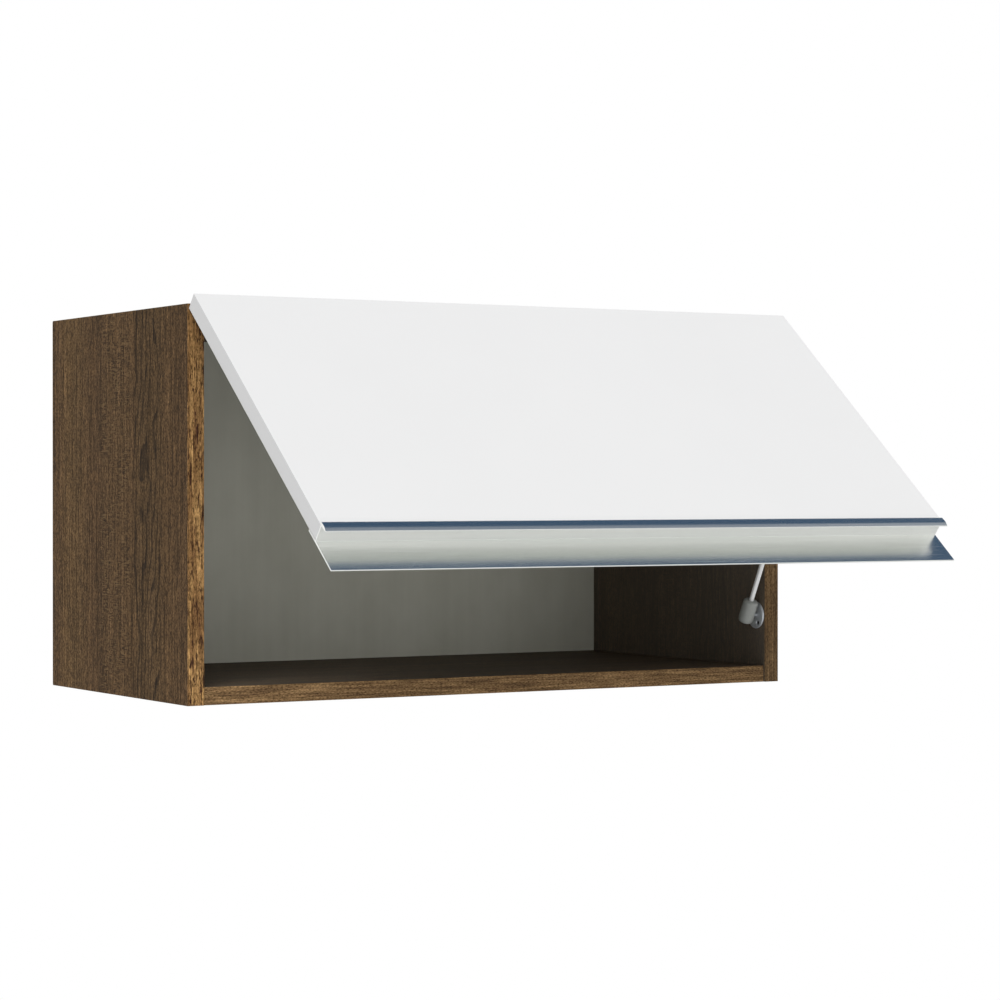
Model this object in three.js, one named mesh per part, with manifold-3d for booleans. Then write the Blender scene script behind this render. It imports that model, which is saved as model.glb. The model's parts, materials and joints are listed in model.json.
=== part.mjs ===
// A lift-up wall cabinet: a low wooden carcass with one flap door that opens upwards.
// Millimetres. +X to the right, +Y towards the wall, +Z up.
// The origin is the centre of the rear face, the face that lies against the wall.
// The door is shown lifted to the end of its strut's travel.

import * as THREE from 'three';
import { mergeVertices } from 'three/addons/utils/BufferGeometryUtils.js';
import Module from 'manifold-3d';

const wasm = await Module();
wasm.setup();

// ---------------------------------------------------------------- driving dimensions

// Carcass
const WIDTH = 600; // over the two side panels
const HEIGHT = 332; // of the side panels
const SIDE_DEPTH = 295; // of a side panel, edge band included
const BOARD = 15; // particle board of the carcass
const BACK_BOARD = 3; // hardboard nailed over the rear
const BACK_INSET = 1; // hardboard stays this far inside the outline
const EDGE_BAND = 0.5; // strip glued on each front edge
const FRONT_SETBACK = 2; // top and bottom panels stay this far behind the sides

// Door
const DOOR_BOARD = 15;
const DOOR_SIDE_GAP = 1.2; // from the carcass outline, each side
const DOOR_TOP_GAP = 5; // closed door's top edge below the carcass top
const DOOR_BACK_GAP = 1.9; // closed door's back in front of the carcass
const OPEN_ANGLE = THREE.MathUtils.degToRad(50.65);
const HINGE_DROP = 1.2; // hinge axis below the door's top edge

// Handle profile, along the door's lower edge
const PROFILE_WALL = 1.2;
const PROFILE_DROP = 34.9; // tip of the pull below the panel's lower edge
const PROFILE_TIP_OVERHANG = 3.2; // closed pull's tip below the carcass
const PROFILE_LAP = 12.5; // back flange lies behind the panel by this much
const LIP_LAP = 2.1; // front lip lies over the panel's face by this much
const LIP_DROP = 9.3; // front lip hangs below the panel's lower edge
const LIP_BULGE = 2.2; // the rounded lip's proudest point

// Leaf hinges
const HINGE_LENGTH = 50;
const HINGE_END_DISTANCE = 100; // hinge centre from the carcass side
const HINGE_KNUCKLE_RADIUS = 1.5;
const HINGE_PIN_RADIUS = 0.8;
const KNUCKLE_RELIEF = 0.4; // room for the other leaf's knuckle
const HINGE_LEAF = 0.9; // sheet thickness
const HINGE_END_KNUCKLE = 12; // length of each outer knuckle
const DOOR_LEAF_REACH = 24;
const CARCASS_LEAF_REACH = 26;
const HINGE_SCREW_SPACING = 30;
const HINGE_SCREW_SETBACK = 16; // from the hinge axis, on either leaf

// Gas strut, on the right-hand side only
const STRUT_BALL_FROM_FRONT = 13; // lower ball behind the side panel's front
const STRUT_BALL_HEIGHT = 62; // lower ball above the carcass bottom
const STRUT_BALL_FROM_SIDE = 11; // both balls from the side panel's inner face
const STRUT_DOOR_REACH = 113.7; // upper ball from the door's top edge
const STRUT_DOOR_STANDOFF = 15; // upper ball behind the door's back
const STRUT_BALL_RADIUS = 4;
const STRUT_NECK_RADIUS = 2.4;
const STRUT_MOUTH_RADIUS = 3.4; // opening that holds the ball in its socket
const STRUT_ROD_RADIUS = 2.4;
const STRUT_TUBE_RADIUS = 7.5;
const STRUT_TUBE_WALL = 1;
const STRUT_TUBE_END = 3;
const SOCKET_RADIUS = 7;
const SOCKET_ROUNDING = 2.5;
const SOCKET_BELOW_BALL = 7.2;
const SOCKET_ABOVE_BALL = 15.4;
const SOCKET_BORE_DEPTH = 8;
const SOCKET_STUB_RADIUS = 3;
const ROD_BUMP_GAP = 3; // closed strut's tube above its lower socket
const ROD_GUIDE_LENGTH = 8;
const PISTON_LENGTH = 6;
const PISTON_GROOVE = 1; // half the width, and the depth, of its ring groove
const PISTON_GAP = 1.5; // open strut's piston above the rod guide

// Strut fixings
const PLATE_RADIUS = 12.5;
const PLATE_THICKNESS = 1.6;
const PLATE_HOLE_RADIUS = 2.1;
const PLATE_OFFSET = 0.5; // plate's centre behind and below the ball
const PLATE_SCREW_RADIUS = 8.2; // from the plate's centre
const PLATE_SCREW_ANGLE = THREE.MathUtils.degToRad(31); // forward of straight down
const EAR_THICKNESS = 2;
const EAR_DEPTH = 21; // ear stands this far behind the door
const EAR_ABOVE_BALL = 28; // ear reaches this far towards the door's top
const EAR_BELOW_BALL = 8;
const EAR_FROM_SOCKET = 5.5; // ear's face from the upper socket's side
const EAR_CORNER = 8.4; // size of the ear's cut corner
const BRACKET_FOOT = 18; // width of the foot on the door
const BRACKET_SHEET = 1.5;
const STUD_FLANGE_RADIUS = 4;
const STUD_FLANGE = 1.2;

// Wall brackets
const WALL_BRACKET_LEG = 30;
const WALL_BRACKET_HEIGHT = 24;
const WALL_BRACKET_SHEET = 1.5;
const WALL_BRACKET_DROP = 12; // below the top panel
const WALL_BRACKET_HOLE = 18; // holes from the corner, along each leg
const WALL_SCREW_RADIUS = 3;

// Carcass joints: a cam with its bolt at the front, a dowel at the rear
const CAM_RADIUS = 7.2;
const CAM_DEPTH = 12;
const CAM_FROM_END = 24;
const CAM_FROM_FRONT = 50;
const CAM_SLOT = 1.6;
const CAM_SLOT_DEPTH = 2;
const CAM_SLOT_LENGTH = 10;
const CAM_BOLT_RADIUS = 3;
const CAM_BOLT_NECK_RADIUS = 1.8;
const CAM_BOLT_HEAD_RADIUS = 3.4; // of the hole that takes the head
const CAM_BOLT_HEAD = 3;
const CAM_BOLT_IN_SIDE = 9;
const DOWEL_RADIUS = 4;
const DOWEL_FROM_REAR = 60;
const DOWEL_IN_SIDE = 9;
const DOWEL_IN_PANEL = 20;

// Screws and door buffers
const SCREW_RADIUS = 1.5;
const SCREW_HEAD_RADIUS = 3.2;
const SCREW_HEAD = 1.2;
const SCREW_CROWN_RADIUS = 2.2; // flat top of the rounded head
const SCREW_BITE = 10; // length held in the board
const BUFFER_RADIUS = 4;
const BUFFER_CROWN_RADIUS = 2.8;
const BUFFER_HEIGHT = 1.2;
const BUFFER_FROM_EDGE = 21; // above the panel's lower edge

const CLEARANCE = 0.3; // between pieces that seat without touching
const OVERRUN = 1; // a cutter passes the face that it opens by this much
const CHAMFER = 1;
const SMALL_CHAMFER = 0.5;
const ROUND = 24; // facets round a part that shows
const FINE_ROUND = 12; // facets round a bore or a screw

// ---------------------------------------------------------------- derived places

const INNER_HALF = WIDTH / 2 - BOARD;
const HALF_HEIGHT = HEIGHT / 2;
const SHELF_HEIGHT = HALF_HEIGHT - BOARD; // inner face of the top panel, from the middle
const REAR = -BACK_BOARD;
const FRONT = REAR - SIDE_DEPTH;
const PANEL_FRONT = FRONT + FRONT_SETBACK;

const HINGE_Z = HALF_HEIGHT - DOOR_TOP_GAP - HINGE_DROP;
const DOOR_HALF = WIDTH / 2 - DOOR_SIDE_GAP;
const DOOR_LENGTH = HEIGHT - DOOR_TOP_GAP + PROFILE_TIP_OVERHANG - PROFILE_DROP;

// In the door's own frame the origin is on the hinge axis and the door hangs closed.
const DOOR_BACK = -DOOR_BACK_GAP;
const DOOR_FACE = DOOR_BACK - DOOR_BOARD;
const DOOR_TOP = HINGE_DROP;
const DOOR_BOTTOM = DOOR_TOP - DOOR_LENGTH;

const STRUT_X = INNER_HALF - STRUT_BALL_FROM_SIDE;
const LOWER_BALL = new THREE.Vector3(
    STRUT_X, FRONT + STRUT_BALL_FROM_FRONT, STRUT_BALL_HEIGHT - HALF_HEIGHT);
const UPPER_BALL_ON_DOOR = new THREE.Vector3(
    STRUT_X, DOOR_BACK + STRUT_DOOR_STANDOFF, DOOR_TOP - STRUT_DOOR_REACH);
const HINGE_CENTRE = new THREE.Vector3(0, FRONT, HINGE_Z);

const X_AXIS = new THREE.Vector3(1, 0, 0);
const Y_AXIS = new THREE.Vector3(0, 1, 0);
const Z_AXIS = new THREE.Vector3(0, 0, 1);

// From the lower ball to the upper one, with the door lifted by an angle.
function strutSpan(lift) {
    const upper = UPPER_BALL_ON_DOOR.clone().applyAxisAngle(X_AXIS, -lift).add(HINGE_CENTRE);
    return upper.sub(LOWER_BALL);
}

const OPEN_SPAN = strutSpan(OPEN_ANGLE);
const STRUT_LENGTH = OPEN_SPAN.length();
const STRUT_STROKE = STRUT_LENGTH - strutSpan(0).length();
const STRUT_LEAN = Math.atan2(-OPEN_SPAN.y, OPEN_SPAN.z);

// ---------------------------------------------------------------- materials

function finish(color, roughness, metalness) {
    return new THREE.MeshStandardMaterial({ color, roughness, metalness });
}

const MATERIALS = {
    wood: () => finish(0x59442f, 0.6, 0),
    woodEdge: () => finish(0x79592f, 0.6, 0),
    hardboard: () => finish(0xc9c7bc, 0.75, 0),
    lacquer: () => finish(0xededed, 0.35, 0),
    aluminium: () => finish(0xb4bcc2, 0.3, 0.9),
    steel: () => finish(0xb9bcc0, 0.35, 0.9),
    darkSteel: () => finish(0x3a3b3d, 0.5, 0.7),
    tube: () => finish(0xd6d7d8, 0.35, 0.2),
    greyPlastic: () => finish(0x787b76, 0.5, 0),
    clearPlastic: () => finish(0xd8dad6, 0.4, 0),
    beech: () => finish(0xc8a878, 0.7, 0),
    zamak: () => finish(0x9a9ca0, 0.45, 0.8),
};

// ---------------------------------------------------------------- shape helpers

function toSolid(geometry) {
    const bare = geometry.clone();
    bare.deleteAttribute('normal');
    bare.deleteAttribute('uv');
    const merged = mergeVertices(bare, 1e-4);
    return new wasm.Manifold(new wasm.Mesh({
        numProp: 3,
        vertProperties: new Float32Array(merged.attributes.position.array),
        triVerts: new Uint32Array(merged.index.array),
    }));
}

function toGeometry(solid) {
    const mesh = solid.getMesh();
    const geometry = new THREE.BufferGeometry();
    geometry.setAttribute('position', new THREE.BufferAttribute(mesh.vertProperties, 3));
    geometry.setIndex(new THREE.BufferAttribute(mesh.triVerts, 1));
    geometry.computeVertexNormals();
    return geometry;
}

function join(geometries) {
    return toGeometry(geometries.map(toSolid).reduce((whole, piece) => whole.add(piece)));
}

function cut(geometry, cutters) {
    const whole = toSolid(geometry);
    return toGeometry(cutters.map(toSolid).reduce((rest, cutter) => rest.subtract(cutter), whole));
}

// A block between two corners.
function block(x0, x1, y0, y1, z0, z1) {
    const geometry = new THREE.BoxGeometry(x1 - x0, y1 - y0, z1 - z0);
    return geometry.translate((x0 + x1) / 2, (y0 + y1) / 2, (z0 + z1) / 2);
}

// A round bar that starts at a point and runs along a direction.
function bar(start, direction, length, radius, sides = FINE_ROUND) {
    const geometry = new THREE.CylinderGeometry(radius, radius, length, sides);
    geometry.translate(0, length / 2, 0);
    geometry.applyQuaternion(new THREE.Quaternion().setFromUnitVectors(Y_AXIS, direction));
    return geometry.translate(start.x, start.y, start.z);
}

// A turned piece: [radius, height] pairs, revolved and then laid along a direction.
function turned(profile, start, direction, sides = ROUND) {
    const geometry = new THREE.LatheGeometry(profile.map(([r, h]) => new THREE.Vector2(r, h)), sides);
    geometry.applyQuaternion(new THREE.Quaternion().setFromUnitVectors(Y_AXIS, direction));
    return geometry.translate(start.x, start.y, start.z);
}

// An outline in Y and Z, extruded along X.
function alongX(shape, x0, x1, curveSegments = 6) {
    const options = { depth: x1 - x0, bevelEnabled: false, curveSegments };
    const geometry = new THREE.ExtrudeGeometry(shape, options);
    geometry.applyMatrix4(new THREE.Matrix4().makeBasis(Y_AXIS, Z_AXIS, X_AXIS));
    return geometry.translate(x0, 0, 0);
}

function outline(points) {
    return new THREE.Shape(points.map(([y, z]) => new THREE.Vector2(y, z)));
}

function point(x, y, z) {
    return new THREE.Vector3(x, y, z);
}

function addPiece(group, name, geometry, material) {
    const mesh = new THREE.Mesh(geometry, MATERIALS[material]());
    mesh.name = name;
    group.add(mesh);
}

// A pan-head screw. Its head's underside is at the seat, and the shank runs along the direction.
function screw(seat, direction, shank) {
    const profile = [
        [0, -SCREW_HEAD], [SCREW_CROWN_RADIUS, -SCREW_HEAD], [SCREW_HEAD_RADIUS, -SCREW_HEAD / 2],
        [SCREW_HEAD_RADIUS, 0], [SCREW_RADIUS, 0], [SCREW_RADIUS, shank - SCREW_RADIUS], [0, shank],
    ];
    return turned(profile, seat, direction, FINE_ROUND);
}

// The hole that such a screw needs, from its seat into the board.
function screwHole(seat, direction, shank) {
    const start = seat.clone().addScaledVector(direction, -SCREW_HEAD);
    return bar(start, direction, shank + SCREW_HEAD + CLEARANCE, SCREW_RADIUS + CLEARANCE);
}

// ---------------------------------------------------------------- carcass

const SIDES = [['left', -1], ['right', 1]];
const LEVELS = [['top', 1], ['bottom', -1]];
const CAM_Y = PANEL_FRONT + CAM_FROM_FRONT;
const DOWEL_Y = REAR - DOWEL_FROM_REAR;

// Middle of a top or bottom panel's thickness.
function panelMiddle(level) {
    return level * (HALF_HEIGHT - BOARD / 2);
}

// Where a joint's fittings start, inside the side panel, and the way they point.
function jointStart(side, level, y, depthInSide) {
    return point(side * (INNER_HALF + depthInSide), y, panelMiddle(level));
}

function inward(side) {
    return X_AXIS.clone().multiplyScalar(-side);
}

function dowelBore(side, level) {
    const start = jointStart(side, level, DOWEL_Y, DOWEL_IN_SIDE + CLEARANCE);
    const length = DOWEL_IN_SIDE + DOWEL_IN_PANEL + 2 * CLEARANCE;
    return bar(start, inward(side), length, DOWEL_RADIUS + CLEARANCE);
}

function camBoltBore(side, level) {
    const start = jointStart(side, level, CAM_Y, CAM_BOLT_IN_SIDE + CLEARANCE);
    return bar(start, inward(side), CAM_BOLT_IN_SIDE + CAM_FROM_END, CAM_BOLT_RADIUS + CLEARANCE);
}

// The cam's pocket opens in the panel's outer face, where it doesn't show.
function camPocket(side, level) {
    const depth = CAM_DEPTH + CLEARANCE;
    const floor = point(side * (INNER_HALF - CAM_FROM_END), CAM_Y, level * (HALF_HEIGHT - depth));
    const direction = Z_AXIS.clone().multiplyScalar(level);
    return bar(floor, direction, CAM_DEPTH + OVERRUN, CAM_RADIUS + CLEARANCE, ROUND);
}

// A cam housing with the radial hole that takes the bolt's head, and a driver slot.
function camLock(side, level) {
    const centre = side * (INNER_HALF - CAM_FROM_END);
    const outer = level * (HALF_HEIGHT - CLEARANCE);
    const into = Z_AXIS.clone().multiplyScalar(-level);
    const body = bar(point(centre, CAM_Y, outer), into, CAM_DEPTH - CLEARANCE, CAM_RADIUS, ROUND);
    const boltHole = bar(
        point(centre + side * (CAM_RADIUS + OVERRUN), CAM_Y, panelMiddle(level)), inward(side),
        CAM_RADIUS + OVERRUN + CAM_BOLT_HEAD / 2 + CLEARANCE, CAM_BOLT_HEAD_RADIUS + CLEARANCE);
    const slotEdges = [outer - level * CAM_SLOT_DEPTH, outer + level * OVERRUN].sort((a, b) => a - b);
    const slot = block(
        centre - CAM_SLOT / 2, centre + CAM_SLOT / 2,
        CAM_Y - CAM_SLOT_LENGTH / 2, CAM_Y + CAM_SLOT_LENGTH / 2, slotEdges[0], slotEdges[1]);
    return cut(body, [boltHole, slot]);
}

// A bolt whose threaded end is in the side panel and whose head sits in the cam.
function camBolt(side, level) {
    const headEnd = CAM_BOLT_IN_SIDE + CAM_FROM_END + CAM_BOLT_HEAD / 2;
    const headStart = headEnd - CAM_BOLT_HEAD;
    const neckStart = headStart - CAM_BOLT_HEAD;
    const profile = [
        [0, 0], [CAM_BOLT_RADIUS - SMALL_CHAMFER, 0], [CAM_BOLT_RADIUS, SMALL_CHAMFER],
        [CAM_BOLT_RADIUS, neckStart], [CAM_BOLT_NECK_RADIUS, neckStart + SMALL_CHAMFER],
        [CAM_BOLT_NECK_RADIUS, headStart], [CAM_BOLT_RADIUS, headStart + SMALL_CHAMFER],
        [CAM_BOLT_RADIUS, headEnd - SMALL_CHAMFER], [CAM_BOLT_NECK_RADIUS, headEnd], [0, headEnd],
    ];
    return turned(profile, jointStart(side, level, CAM_Y, CAM_BOLT_IN_SIDE), inward(side), FINE_ROUND);
}

function dowel(side, level) {
    const length = DOWEL_IN_SIDE + DOWEL_IN_PANEL;
    const profile = [
        [0, 0], [DOWEL_RADIUS - CHAMFER, 0], [DOWEL_RADIUS, CHAMFER], [DOWEL_RADIUS, length - CHAMFER],
        [DOWEL_RADIUS - CHAMFER, length], [0, length],
    ];
    return turned(profile, jointStart(side, level, DOWEL_Y, DOWEL_IN_SIDE), inward(side), FINE_ROUND);
}

// The two screws of the strut's plate lie on one diameter.
function plateScrewSeats() {
    const centre = plateCentre();
    const reach = point(0, -Math.sin(PLATE_SCREW_ANGLE), -Math.cos(PLATE_SCREW_ANGLE))
        .multiplyScalar(PLATE_SCREW_RADIUS);
    const seat = point(INNER_HALF - PLATE_THICKNESS / 2, centre.y, centre.z);
    return [seat.clone().add(reach), seat.clone().sub(reach)];
}

function plateCentre() {
    return point(INNER_HALF - PLATE_THICKNESS, LOWER_BALL.y + PLATE_OFFSET, LOWER_BALL.z - PLATE_OFFSET);
}

const WALL_BRACKET_TOP = SHELF_HEIGHT - WALL_BRACKET_DROP;
const WALL_BRACKET_MIDDLE = WALL_BRACKET_TOP - WALL_BRACKET_HEIGHT / 2;

function wallBracketScrewSeat(side) {
    return point(side * (INNER_HALF - WALL_BRACKET_SHEET), REAR - WALL_BRACKET_HOLE, WALL_BRACKET_MIDDLE);
}

function wallScrewHole(side) {
    const x = side * (INNER_HALF - WALL_BRACKET_HOLE);
    const start = point(x, REAR - WALL_BRACKET_HOLE, WALL_BRACKET_MIDDLE);
    return bar(start, Y_AXIS, WALL_BRACKET_HOLE + BACK_BOARD + OVERRUN, WALL_SCREW_RADIUS);
}

function sidePanel(side) {
    const outer = side * WIDTH / 2;
    const inner = side * INNER_HALF;
    const panel = block(
        Math.min(outer, inner), Math.max(outer, inner), FRONT + EDGE_BAND, REAR, -HALF_HEIGHT, HALF_HEIGHT);
    const holes = LEVELS.flatMap(([, level]) => [dowelBore(side, level), camBoltBore(side, level)]);
    const outward = X_AXIS.clone().multiplyScalar(side);
    holes.push(screwHole(wallBracketScrewSeat(side), outward, SCREW_BITE));
    if (side > 0) {
        plateScrewSeats().forEach((seat) => holes.push(screwHole(seat, outward, SCREW_BITE)));
    }
    return cut(panel, holes);
}

function sideEdgeBand(side) {
    const outer = side * WIDTH / 2;
    const inner = side * INNER_HALF;
    return block(
        Math.min(outer, inner), Math.max(outer, inner), FRONT, FRONT + EDGE_BAND,
        -HALF_HEIGHT, HALF_HEIGHT);
}

function levelPanel(level) {
    const inner = level * SHELF_HEIGHT;
    const outer = level * HALF_HEIGHT;
    const panel = block(
        -INNER_HALF, INNER_HALF, PANEL_FRONT + EDGE_BAND, REAR,
        Math.min(inner, outer), Math.max(inner, outer));
    const holes = SIDES.flatMap(([, side]) => [
        dowelBore(side, level), camBoltBore(side, level), camPocket(side, level)]);
    if (level > 0) {
        HINGE_CENTRES.forEach((x) => {
            carcassLeafSeats(x).forEach((seat) => holes.push(screwHole(seat, Z_AXIS, SCREW_BITE)));
        });
    }
    return cut(panel, holes);
}

function levelEdgeBand(level) {
    const inner = level * SHELF_HEIGHT;
    const outer = level * HALF_HEIGHT;
    return block(
        -INNER_HALF, INNER_HALF, PANEL_FRONT, PANEL_FRONT + EDGE_BAND,
        Math.min(inner, outer), Math.max(inner, outer));
}

function backPanel() {
    const half = WIDTH / 2 - BACK_INSET;
    const halfHeight = HALF_HEIGHT - BACK_INSET;
    const panel = block(-half, half, REAR, 0, -halfHeight, halfHeight);
    return cut(panel, SIDES.map(([, side]) => wallScrewHole(side)));
}

// An angle bracket in each top rear corner: one leg on the side panel, one on the back.
function wallBracket(side) {
    const sheet = WALL_BRACKET_SHEET;
    const leg = WALL_BRACKET_LEG;
    const shape = new THREE.Shape([
        [0, 0], [leg, 0], [leg, sheet], [sheet, sheet], [sheet, leg], [0, leg],
    ].map(([x, y]) => new THREE.Vector2(side * (INNER_HALF - x), REAR - y)));
    const bracket = new THREE.ExtrudeGeometry(shape, { depth: WALL_BRACKET_HEIGHT, bevelEnabled: false });
    bracket.translate(0, 0, WALL_BRACKET_TOP - WALL_BRACKET_HEIGHT);
    const outward = X_AXIS.clone().multiplyScalar(side);
    return cut(bracket, [wallScrewHole(side), screwHole(wallBracketScrewSeat(side), outward, SCREW_BITE)]);
}

function buildCarcass(group) {
    SIDES.forEach(([word, side]) => {
        addPiece(group, `${word}_side_panel`, sidePanel(side), 'wood');
        addPiece(group, `${word}_side_edge_band`, sideEdgeBand(side), 'woodEdge');
        addPiece(group, `wall_bracket_${word}`, wallBracket(side), 'steel');
        const outward = X_AXIS.clone().multiplyScalar(side);
        const wallScrew = screw(wallBracketScrewSeat(side), outward, SCREW_BITE);
        addPiece(group, `wall_bracket_screw_${word}`, wallScrew, 'steel');
    });
    LEVELS.forEach(([word, level]) => {
        addPiece(group, `${word}_panel`, levelPanel(level), 'wood');
        addPiece(group, `${word}_edge_band`, levelEdgeBand(level), 'woodEdge');
        SIDES.forEach(([sideWord, side]) => {
            addPiece(group, `cam_lock_${word}_${sideWord}`, camLock(side, level), 'zamak');
            addPiece(group, `cam_bolt_${word}_${sideWord}`, camBolt(side, level), 'steel');
            addPiece(group, `dowel_${word}_${sideWord}`, dowel(side, level), 'beech');
        });
    });
    addPiece(group, 'back_panel', backPanel(), 'hardboard');
}

// ---------------------------------------------------------------- hinges

// Both leaves are written about the hinge axis, with the door closed.
const HINGE_CENTRES = SIDES.map(([, side]) => side * (WIDTH / 2 - HINGE_END_DISTANCE));
const UNDER_TOP = SHELF_HEIGHT - HINGE_Z; // top panel's underside, from the hinge axis
const NOTCH = HINGE_KNUCKLE_RADIUS + KNUCKLE_RELIEF; // leaves keep out of the other's knuckles

function hingeSpans(x) {
    const start = x - HINGE_LENGTH / 2;
    const end = x + HINGE_LENGTH / 2;
    return { start, end, innerStart: start + HINGE_END_KNUCKLE, innerEnd: end - HINGE_END_KNUCKLE };
}

function knuckle(x0, x1) {
    const ring = new THREE.Shape().absarc(0, 0, HINGE_KNUCKLE_RADIUS, 0, 2 * Math.PI);
    ring.holes.push(new THREE.Path().absarc(0, 0, HINGE_PIN_RADIUS + CLEARANCE, 0, 2 * Math.PI, true));
    return alongX(ring, x0, x1, FINE_ROUND);
}

function knuckleNotch(x0, x1) {
    return block(x0, x1, -NOTCH, NOTCH, -NOTCH, NOTCH);
}

// Pin space, cut through a leaf where its plate meets the knuckle.
function pinBore(x) {
    const { start } = hingeSpans(x);
    const length = HINGE_LENGTH + 2 * OVERRUN;
    return bar(point(start - OVERRUN, 0, 0), X_AXIS, length, HINGE_PIN_RADIUS + CLEARANCE, ROUND);
}

function carcassLeafSeats(x) {
    return [-1, 1].map((hand) => point(
        x + hand * HINGE_SCREW_SPACING / 2, FRONT + HINGE_SCREW_SETBACK, SHELF_HEIGHT - HINGE_LEAF));
}

// The carcass leaf drops in front of the top panel's edge and turns back under the panel.
function carcassLeaf(x) {
    const { start, end, innerStart, innerEnd } = hingeSpans(x);
    const near = HINGE_KNUCKLE_RADIUS;
    const under = UNDER_TOP - HINGE_LEAF;
    const angle = outline([
        [near - HINGE_LEAF, 0], [near - HINGE_LEAF, under], [CARCASS_LEAF_REACH, under],
        [CARCASS_LEAF_REACH, UNDER_TOP], [near, UNDER_TOP], [near, 0],
    ]);
    const whole = join([alongX(angle, start, end), knuckle(start, innerStart), knuckle(innerEnd, end)]);
    const seats = carcassLeafSeats(x).map((seat) => seat.sub(HINGE_CENTRE));
    return cut(whole, [
        knuckleNotch(innerStart, innerEnd), pinBore(x),
        ...seats.map((seat) => screwHole(seat, Z_AXIS, SCREW_BITE)),
    ]);
}

function doorLeafSeats(x) {
    return [-1, 1].map((hand) => point(
        x + hand * HINGE_SCREW_SPACING / 2, HINGE_LEAF - HINGE_KNUCKLE_RADIUS, -HINGE_SCREW_SETBACK));
}

// The door leaf lies flat on the door's back, with one long knuckle between the other two.
function doorLeaf(x) {
    const { start, end, innerStart, innerEnd } = hingeSpans(x);
    const near = -HINGE_KNUCKLE_RADIUS;
    const plate = block(start, end, near, near + HINGE_LEAF, -DOOR_LEAF_REACH, 0);
    const whole = join([plate, knuckle(innerStart + CLEARANCE, innerEnd - CLEARANCE)]);
    return cut(whole, [
        knuckleNotch(start - OVERRUN, innerStart + CLEARANCE),
        knuckleNotch(innerEnd - CLEARANCE, end + OVERRUN),
        pinBore(x),
        ...doorLeafSeats(x).map((seat) => screwHole(seat, Y_AXIS.clone().negate(), SCREW_BITE)),
    ]);
}

function buildHingeOnCarcass(group, word, x) {
    const { start, end } = hingeSpans(x);
    addPiece(group, `hinge_carcass_leaf_${word}`, carcassLeaf(x).translate(0, FRONT, HINGE_Z), 'steel');
    const pin = bar(point(start, FRONT, HINGE_Z), X_AXIS, end - start, HINGE_PIN_RADIUS, FINE_ROUND);
    addPiece(group, `hinge_pin_${word}`, pin, 'steel');
    carcassLeafSeats(x).forEach((seat, index) => {
        addPiece(group, `hinge_carcass_screw_${word}_${index + 1}`, screw(seat, Z_AXIS, SCREW_BITE), 'steel');
    });
}

function buildHingeOnDoor(group, word, x) {
    addPiece(group, `hinge_door_leaf_${word}`, doorLeaf(x), 'steel');
    doorLeafSeats(x).forEach((seat, index) => {
        seat.y += CLEARANCE;
        const piece = screw(seat, Y_AXIS.clone().negate(), SCREW_BITE);
        addPiece(group, `hinge_door_screw_${word}_${index + 1}`, piece, 'steel');
    });
}

// ---------------------------------------------------------------- door

// Where the strut's bracket is screwed to the door, inboard of the strut.
const EAR_FACE_X = STRUT_X - SOCKET_RADIUS - EAR_FROM_SOCKET;
const EAR_X = EAR_FACE_X - EAR_THICKNESS; // ear's inboard face
const EAR_TOP = UPPER_BALL_ON_DOOR.z + EAR_ABOVE_BALL;
const EAR_BOTTOM = UPPER_BALL_ON_DOOR.z - EAR_BELOW_BALL;
const BRACKET_BACK = DOOR_BACK + CLEARANCE; // foot's face towards the door

function doorBracketSeats() {
    const x = EAR_X - BRACKET_FOOT / 2;
    const inset = (EAR_TOP - EAR_BOTTOM) / 4;
    return [EAR_TOP - inset, EAR_BOTTOM + inset].map((z) => point(x, BRACKET_BACK + BRACKET_SHEET, z));
}

function doorPanel() {
    const panel = block(-DOOR_HALF, DOOR_HALF, DOOR_FACE, DOOR_BACK, DOOR_BOTTOM, DOOR_TOP);
    const into = Y_AXIS.clone().negate();
    const seats = [...HINGE_CENTRES.flatMap(doorLeafSeats), ...doorBracketSeats()];
    return cut(panel, seats.map((seat) => screwHole(seat, into, SCREW_BITE)));
}

// The pull's section: a flange behind the panel that runs on below it as the pull, a web
// under the panel's edge, and a rounded lip over the panel's face.
function handleSection() {
    const flangeFront = DOOR_BACK + CLEARANCE;
    const flangeBack = flangeFront + PROFILE_WALL;
    const tip = DOOR_BOTTOM - PROFILE_DROP;
    const webTop = DOOR_BOTTOM - CLEARANCE;
    const webBottom = webTop - PROFILE_WALL;
    const lipBack = DOOR_FACE - CLEARANCE;
    const lipTop = DOOR_BOTTOM + LIP_LAP;
    const lipTip = DOOR_BOTTOM - LIP_DROP;
    const bulge = lipBack - LIP_BULGE;
    const round = PROFILE_WALL / 3;

    const shape = new THREE.Shape();
    shape.moveTo(flangeBack, DOOR_BOTTOM + PROFILE_LAP);
    shape.lineTo(flangeBack - round, DOOR_BOTTOM + PROFILE_LAP + round);
    shape.lineTo(flangeFront, DOOR_BOTTOM + PROFILE_LAP);
    shape.lineTo(flangeFront, webTop);
    shape.lineTo(lipBack, webTop);
    shape.lineTo(lipBack, lipTop);
    shape.bezierCurveTo(
        bulge, lipTop - round, bulge - round, lipTip + LIP_DROP / 3, lipBack - round, lipTip);
    shape.quadraticCurveTo(lipBack + round, lipTip, lipBack + round, lipTip + PROFILE_WALL);
    shape.lineTo(lipBack + round, webBottom - round);
    shape.lineTo(lipBack + 2 * round, webBottom);
    shape.lineTo(flangeFront - PROFILE_WALL, webBottom);
    shape.quadraticCurveTo(flangeFront, webBottom, flangeFront, webBottom - PROFILE_WALL);
    shape.lineTo(flangeFront, tip + round);
    shape.quadraticCurveTo(flangeFront, tip, flangeFront + PROFILE_WALL / 2, tip);
    shape.quadraticCurveTo(flangeBack, tip, flangeBack, tip + round);
    shape.closePath();
    return shape;
}

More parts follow.
